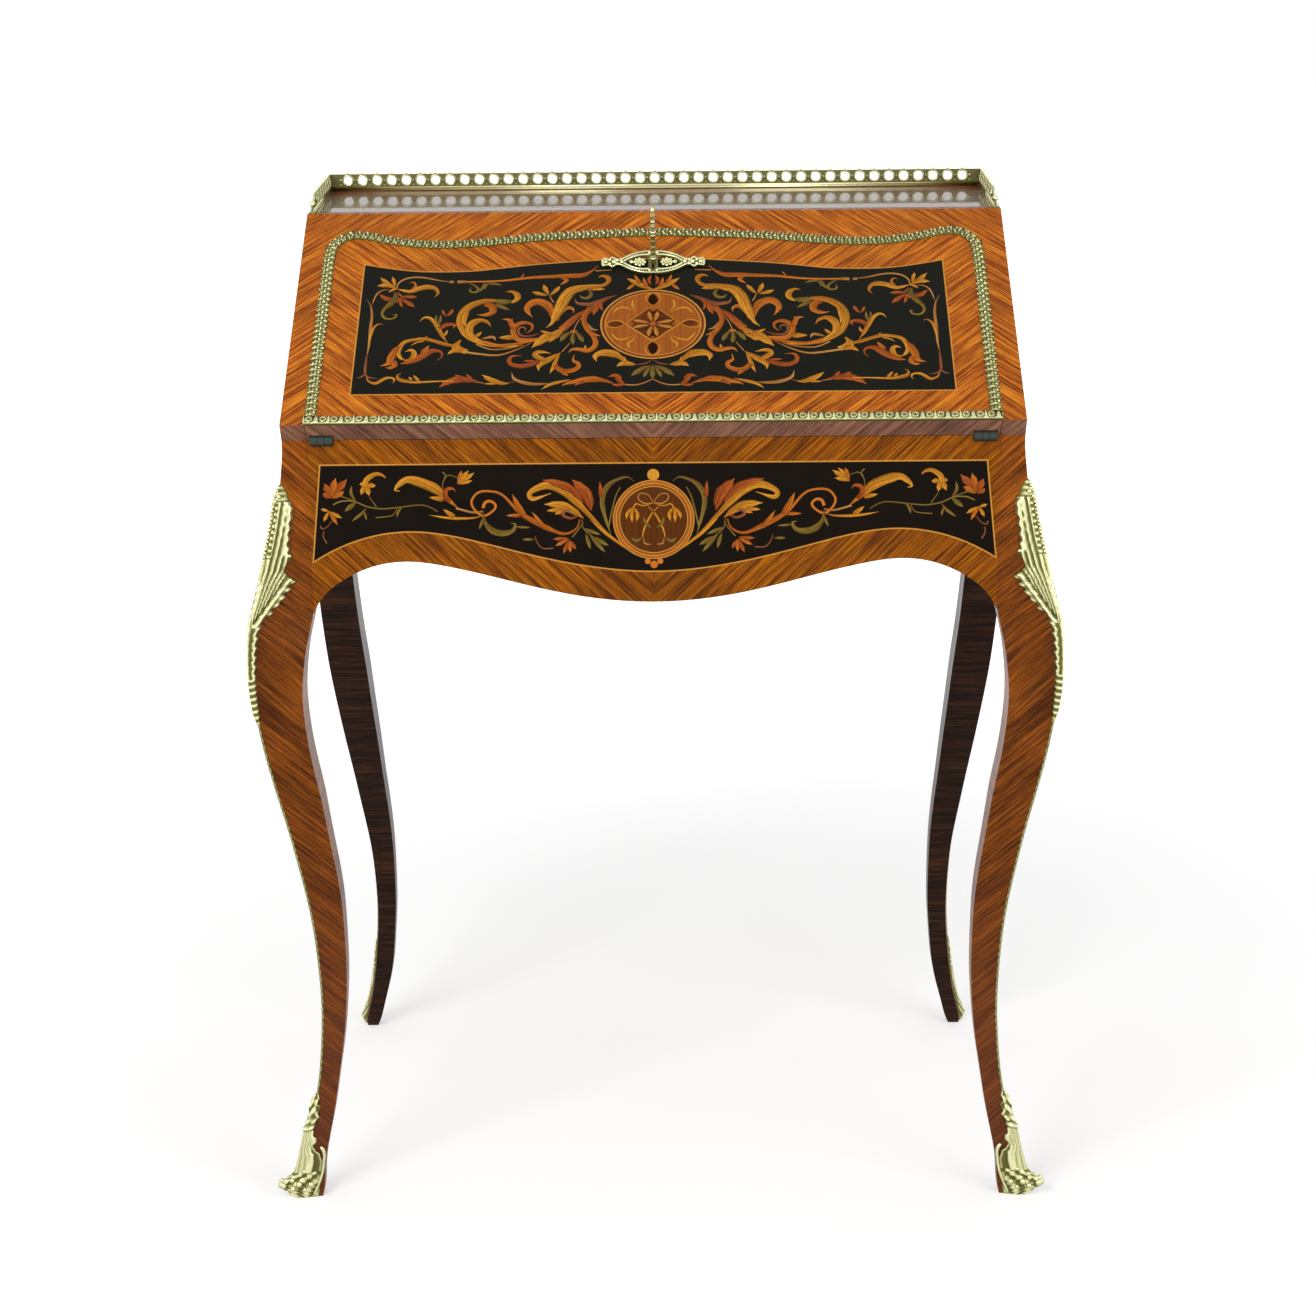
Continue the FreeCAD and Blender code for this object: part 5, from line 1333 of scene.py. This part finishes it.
def sabot_carving(share, u, _):
    """A scrolled toe, a fluted shaft between leaves, a plain collar and husks."""
    up = share * SABOT_HEIGHT
    size = abs(u)
    if share < .25:
        swirl = math.cos(2 * math.pi * (up / 15 - 2.4 * size))
        return swirl * 0.8 + 0.4 * math.cos(2 * math.pi * (up / 6 + 4 * size)) + 0.2, 1.0
    if share < .66:
        shaft = 0.3 * math.cos(2 * math.pi * u * 5) * smooth_step(0.6, 0.4, size) + 0.5
        leaf = 1.1 * hump(size, 0.46 + 1.0 * (share - .25), 0.09) + 0.8 * hump(size, 0.93, 0.06)
        # A groove sunk beside the leaf: its low relief paints the brass dark, a painted shadow between the
        # shaft and the leg
        gap = hump(size, 0.74, 0.12) * smooth_step(.62, .34, share)
        return shaft + leaf - 2.0 * gap, 0.9
    if share < .73:
        return 1.2 * hump(share, .69, .018) - 0.2, 0.9
    lobe = math.cos(2 * math.pi * ((up - 73) / 9 + 0.35 * math.sin(4 * u)))
    return 0.7 * lobe + 0.7 * math.cos(9 * u + up / 3) + 0.3, 0.7


# Lobes of the toe: height, place across and radius
TOE_LOBES = [(14, -0.08, 3.4), (14, 0.08, 3.4), (19, -0.22, 2.6), (11, -0.30, 3.0), (15, -0.46, 3.2),
             (9, -0.58, 2.4), (15, 0.35, 3.0), (22, -0.08, 2.2), (14, -0.74, 3.0), (27, -0.34, 2.0),
             (8, 0.3, 2.6), (27, 0.3, 2.0)]


def sabot(leg, label, front):
    """The foot's casting. In front its toe scrolls out in lobes, and a rim runs up its face."""
    form = Mount(leg, SABOT_FOOT, SABOT_HEIGHT, SABOT_ROWS if front else BACK_SABOT_ROWS)
    form.carve(sabot_carving, 0.8)
    if front:
        for z, u, radius in TOE_LOBES:
            form.bead(z, u, radius, 0.6)
        rim = []
        for k in range(16):
            z = 2 + 48 * k / 15
            x = leg.corner(z)[0] - 7.5
            x -= 6.8 * math.sin(math.pi / 2 * min(k / 9, 1))
            x += 4 * max(0, (k - 12) / 3) ** 2
            rim.append(leg.point(Vector((x, leg.front(x, z) + 1.2)), z))
        form.tube(rim, [1.5 + 0.6 * hump(k, 14, 1.5) for k in range(16)], 8)
    form.piece("sabot_cast_" + label, "carcase", gilt, "gilt_brass", ("sabot_" + label,))


FILLET_PERIOD = 7.5


def fillet(form, leg):
    """The husk chain down a leg's outer corner, from the chute to the sabot."""
    low, high = SABOT_HEIGHT - 2, CHUTE_FOOT + 2
    rings, cuts = [], []
    count = round((high - low) / 1.25)
    for i in range(count + 1):
        z = low + (high - low) * i / count
        gone = (z / FILLET_PERIOD) % 1
        swell = math.sin(math.pi * gone) ** 0.8
        x_edge, y_edge = leg.corner(z)
        reach, out = 1.1 + 0.5 * swell, 0.4 + 0.6 * swell
        ring = [(x_edge - reach, y_edge + 0.2), (x_edge - 0.4 * reach, y_edge + 0.8 * out),
                (x_edge + 0.75 * out, y_edge + 0.75 * out), (x_edge + 0.8 * out, y_edge - 0.4 * reach),
                (x_edge + 0.2, y_edge - reach), (x_edge - 1, y_edge - 1)]
        rings.append([leg.point(Vector(place), z) for place in ring])
        # The husks' brass is painted dark, and lighter at their swell as a painted highlight
        cuts += [(swell * 0.3 + 0.1, 0, 0)] * 6
    form.rings(rings, None, cuts)


fillets = Form()
for side, hand in ((1, "right"), (-1, "left")):
    for end, place in ((-1, "front"), (1, "back")):
        label = place + "_" + hand
        leg = Leg("leg_" + label, side, end)
        chute(leg, label)
        sabot(leg, label, end < 0)
        fillet(fillets, leg)
fillets.piece("fillet_husks", "carcase", gilt, "gilt_brass", ("leg_fillets",))

# Gallery: beads round its holes, peaks on its top edge, and a rounded rail at its foot
GALLERY_HEIGHT = 16.5
GALLERY_INSET = 4
GALLERY_THICK = 2
GALLERY_PITCH = 14.4
GALLERY_HOLE = 4.2
GALLERY_SLOPE = 24
GALLERY_FRONT = 8
HOLE_HEIGHT = TOP_HEIGHT + GALLERY_HEIGHT - 1.8 - GALLERY_HOLE
GALLERY_SIDE = HALF_WIDTH - GALLERY_INSET - GALLERY_THICK / 2
GALLERY_BACK = HALF_DEPTH - GALLERY_INSET - GALLERY_THICK / 2
GALLERY_INNER = GALLERY_BACK - GALLERY_THICK / 2
BACK_HOLES = int(2 * (HALF_WIDTH - GALLERY_INSET) / GALLERY_PITCH) - 1
SIDE_HOLES = int((GALLERY_INNER - TOP_FRONT - GALLERY_SLOPE) / GALLERY_PITCH)


def at_back(along, z, off):
    return Vector((along, GALLERY_BACK + off, z)) * MM


def at_side(side):
    """How to place a point on the gallery's right run for 1, or on its left one for -1."""
    def place(along, z, off):
        return Vector((side * (GALLERY_SIDE + off), along, z)) * MM
    return place


def gallery(place, centres, rail):
    """Beads for one run of the gallery, from its holes' middles and the ends of its rail."""
    form = Form()
    top = TOP_HEIGHT + GALLERY_HEIGHT
    for centre in centres:
        hole = circle_path((centre, HOLE_HEIGHT), GALLERY_HOLE + 0.8, 20)
        for off in (-GALLERY_THICK / 2, GALLERY_THICK / 2):
            form.tube([place(x, z, off) for x, z in hole], 0.75, closed=True)
            for shift in (-GALLERY_PITCH / 2, GALLERY_PITCH / 2):
                form.ball(place(centre + shift, HOLE_HEIGHT, off), 1.1, 1.6, 6)
                form.ball(place(centre + shift, HOLE_HEIGHT - 4.4, off), 0.9, 1, 6)
        form.ball(place(centre, top + 0.5, 0), 1.5, 1.2, 6)
        for shift in (-4.4, 4.4):
            form.ball(place(centre + shift, top - 0.1, 0), 1.0, 1, 6)
    section = [(-2.1, 0), (-2.1, 1.2), (-1.7, 2.6), (-1.9, 3.3), (-1.5, 4.5), (1.5, 4.5), (1.9, 3.3),
               (1.7, 2.6), (2.1, 1.2), (2.1, 0)]
    form.rings([[place(along, TOP_HEIGHT + z, off) for off, z in section] for along in rail])
    return form


back_centres = [(i - (BACK_HOLES - 1) / 2) * GALLERY_PITCH for i in range(BACK_HOLES)]
side_centres = [GALLERY_INNER - (i + 1) * GALLERY_PITCH for i in range(SIDE_HOLES)]
form = gallery(at_back, back_centres, (-GALLERY_SIDE - 1, GALLERY_SIDE + 1))
form.piece("gallery_beads_back", "carcase", gilt, "gilt_brass")
for side, hand in ((1, "right"), (-1, "left")):
    place = at_side(side)
    form = gallery(place, side_centres, (TOP_FRONT + 1, GALLERY_INNER))
    form.ball(place(TOP_FRONT + 3.4, TOP_HEIGHT + GALLERY_FRONT + 1, 0), 3.0)
    form.tube([place(TOP_FRONT + 3, TOP_HEIGHT + GALLERY_FRONT, 0),
               place(TOP_FRONT + GALLERY_SLOPE, TOP_HEIGHT + GALLERY_HEIGHT, 0)], 1.3)
    form.piece("gallery_beads_" + hand, "carcase", gilt, "gilt_brass")

# Escutcheon: raised rims, rosettes in its openings, and leafy ends
form = Form()
plate = [slope_flat(point) for point in rims("escutcheon", OUTWARD)[0]]
edge = evened(plate + plate[:1], 1.6)[0]
rim = [on_slope(x * 0.985, KEY_RISE + (rise - KEY_RISE) * 0.96, 1.9 + 0.5 * (k % 2))
       for k, (x, rise) in enumerate(edge[:-1])]
form.tube(rim, [0.8 + 0.35 * (k % 2) for k in range(len(rim))], closed=True)
END_BEADS = [(29, 0, 2.2), (33, 2.6, 2.0), (33, -2.6, 2.0), (36, 0, 2.6), (40, 2.8, 1.8), (40, -2.8, 1.8),
             (43.5, 0, 2.2), (46, 1.6, 1.2), (46, -1.6, 1.2)]
for side in (1, -1):
    rosette = side * 12.5
    for ring, count, radius, out in ((4.6, 8, 1.7, 1.6), (2.4, 6, 1.3, 2.6)):
        for k in range(count):
            turn = 2 * math.pi * k / count
            form.ball(on_slope(rosette + ring * math.cos(turn), KEY_RISE + ring * math.sin(turn), out),
                      radius)
    form.ball(on_slope(rosette, KEY_RISE, 3.4), 1.5)
    form.ball(on_slope(side * 20, KEY_RISE, 1.6), 2.2)
    for x, shift, radius in END_BEADS:
        form.ball(on_slope(side * x, KEY_RISE + shift, 1.9), radius)
    for lift in (1, -1):
        line = smooth_path([(side * 3.4, lift * 10.4), (side * 12, lift * 10), (side * 20, lift * 7),
                            (side * 27, lift * 1.5)])
        form.tube([on_slope(x, KEY_RISE + rise, 2.0) for x, rise in line], 1.2)
        form.ball(on_slope(side * 3.4, KEY_RISE + lift * 12.4, 2.2), 1.7)
form.piece("escutcheon_relief", "fall", gilt, "gilt_brass")

# Key: collars on its stem, and beads round its bow, which lies in the plane of its bit
BOW_FOOT, BOW_TOP = 38.8, 65.8
form = Form()
for out, radius in ((6, 3.2), (9, 2.7), (14, 2.6), (20, 2.7), (27, 2.6), (33, 2.9), (36.5, 3.4)):
    form.ball(on_slope(0, KEY_RISE, out), radius, 0.8)
for k in range(10):
    share = k / 9
    for side in (1, -1):
        rise = side * (1.0 + 3.9 * math.sin(math.pi * min(share * 1.1, 1)) ** 0.7)
        form.ball(on_slope(0, KEY_RISE + rise, BOW_FOOT + 1 + 22.5 * share), 1.9 + 0.4 * (k % 2))
form.ball(on_slope(0, KEY_RISE, BOW_TOP - 2.2), 2.1)
form.piece("key_beads", "key", gilt, "gilt_brass")

# Gold tooling round the leather
form = Form()
leather_edge = [slope_flat(point) for point in rims("leather_inset", -OUTWARD)[0]]
for shift, width in ((6, 1.2), (9, 0.5), (14, 0.5)):
    hoop(form, on_slope, leather_edge, width, -FALL_THICK - 0.06, "gold", shift)
form.piece("leather_tooling", "fall", plain_gilt, "writing_leather", smooth=False)


# Floor, lights and camera, in metres
def in_view(wire):
    """1 for the rays of the camera and of a polished face, 0 for those that light the desk."""
    rays = [wire.node("ShaderNodeLightPath", out=out) for out in ("Is Camera Ray", "Is Glossy Ray")]
    return wire.math("MAXIMUM", *rays)


def floor_paint():
    """Pale paint that shines by itself, and more so far off, where it runs into the background."""
    finish = Finish("floor_pale")
    w = finish.wire
    far = w.math("SQRT", finish.x * finish.x + finish.y * finish.y)
    glow = (far.step(400, 2400) * 0.58 + 0.42) * in_view(w)
    finish.set("Emission Color", glow.blend((0, 0, 0, 1), (1, 1, 1, 1)))
    tint = w.noise(finish.x * 0.002, finish.y * 0.002, detail=2)
    pale = tint.blend((0.80, 0.80, 0.80, 1), (0.84, 0.84, 0.84, 1))
    return finish.done(pale, 0.9, Emission_Strength=1.0, Specular_IOR_Level=0.0)


FLOOR_REACH = 9
scene.view_settings.view_transform = "Standard"
mesh = bpy.data.meshes.new("floor")
corners = [(x * FLOOR_REACH, y * FLOOR_REACH, 0) for x, y in ((-1, -1), (1, -1), (1, 1), (-1, 1))]
mesh.from_pydata(corners, [], [(0, 1, 2, 3)])
mesh.materials.append(floor_paint())
floor = put("floor", mesh)

world = bpy.data.worlds.new("studio")
scene.world = world
world.use_nodes = True
sky = world.node_tree.nodes["Background"].inputs
sky["Color"].default_value = (1, 1, 1, 1)
strength = in_view(Wire(world.node_tree)) * 0.5 + 0.5
world.node_tree.links.new(strength.socket, sky["Strength"])


def lamp(name, place, aim, width, power):
    """A square light that looks at a place."""
    data = bpy.data.lights.new(name, "AREA")
    data.shape, data.size, data.energy = "SQUARE", width, power
    item = put(name, data)
    item.location = place
    item.rotation_euler = (Vector(aim) - Vector(place)).to_track_quat("-Z", "Y").to_euler()


lamp("key_light", (-1.6, -2.4, 2.4), (0, 0, 0.5), 1.6, 42)
lamp("fill_light", (2.2, -2.0, 1.6), (0, 0, 0.5), 1.8, 20)

camera_data = bpy.data.cameras.new("camera")
camera = put("camera", camera_data)
scene.camera = camera
camera_data.sensor_width = 36
# The photo's camera: size, focal length and middle in pixels, angles in radians, place in metres
PHOTO = 1316
FOCAL = 2928.57
MIDDLE = (646.487, 656.350)
PITCH, YAW, ROLL = 0.2999794, -0.0142837, -0.0111498
EYE = (0.0280301, -2.69947, 1.3025084)
camera_data.lens = FOCAL / PHOTO * camera_data.sensor_width
camera_data.shift_x = (PHOTO / 2 - MIDDLE[0]) / PHOTO
camera_data.shift_y = (MIDDLE[1] - PHOTO / 2) / PHOTO
ahead = Vector((math.sin(YAW) * math.cos(PITCH), math.cos(YAW) * math.cos(PITCH), -math.sin(PITCH)))
level = Vector((math.cos(YAW), -math.sin(YAW), 0))
upright = level.cross(ahead)
right = math.cos(ROLL) * level + math.sin(ROLL) * upright
above = math.cos(ROLL) * upright - math.sin(ROLL) * level
turn = Matrix((right, above, -ahead)).transposed()
camera.matrix_world = Matrix.Translation(EYE) @ turn.to_4x4()
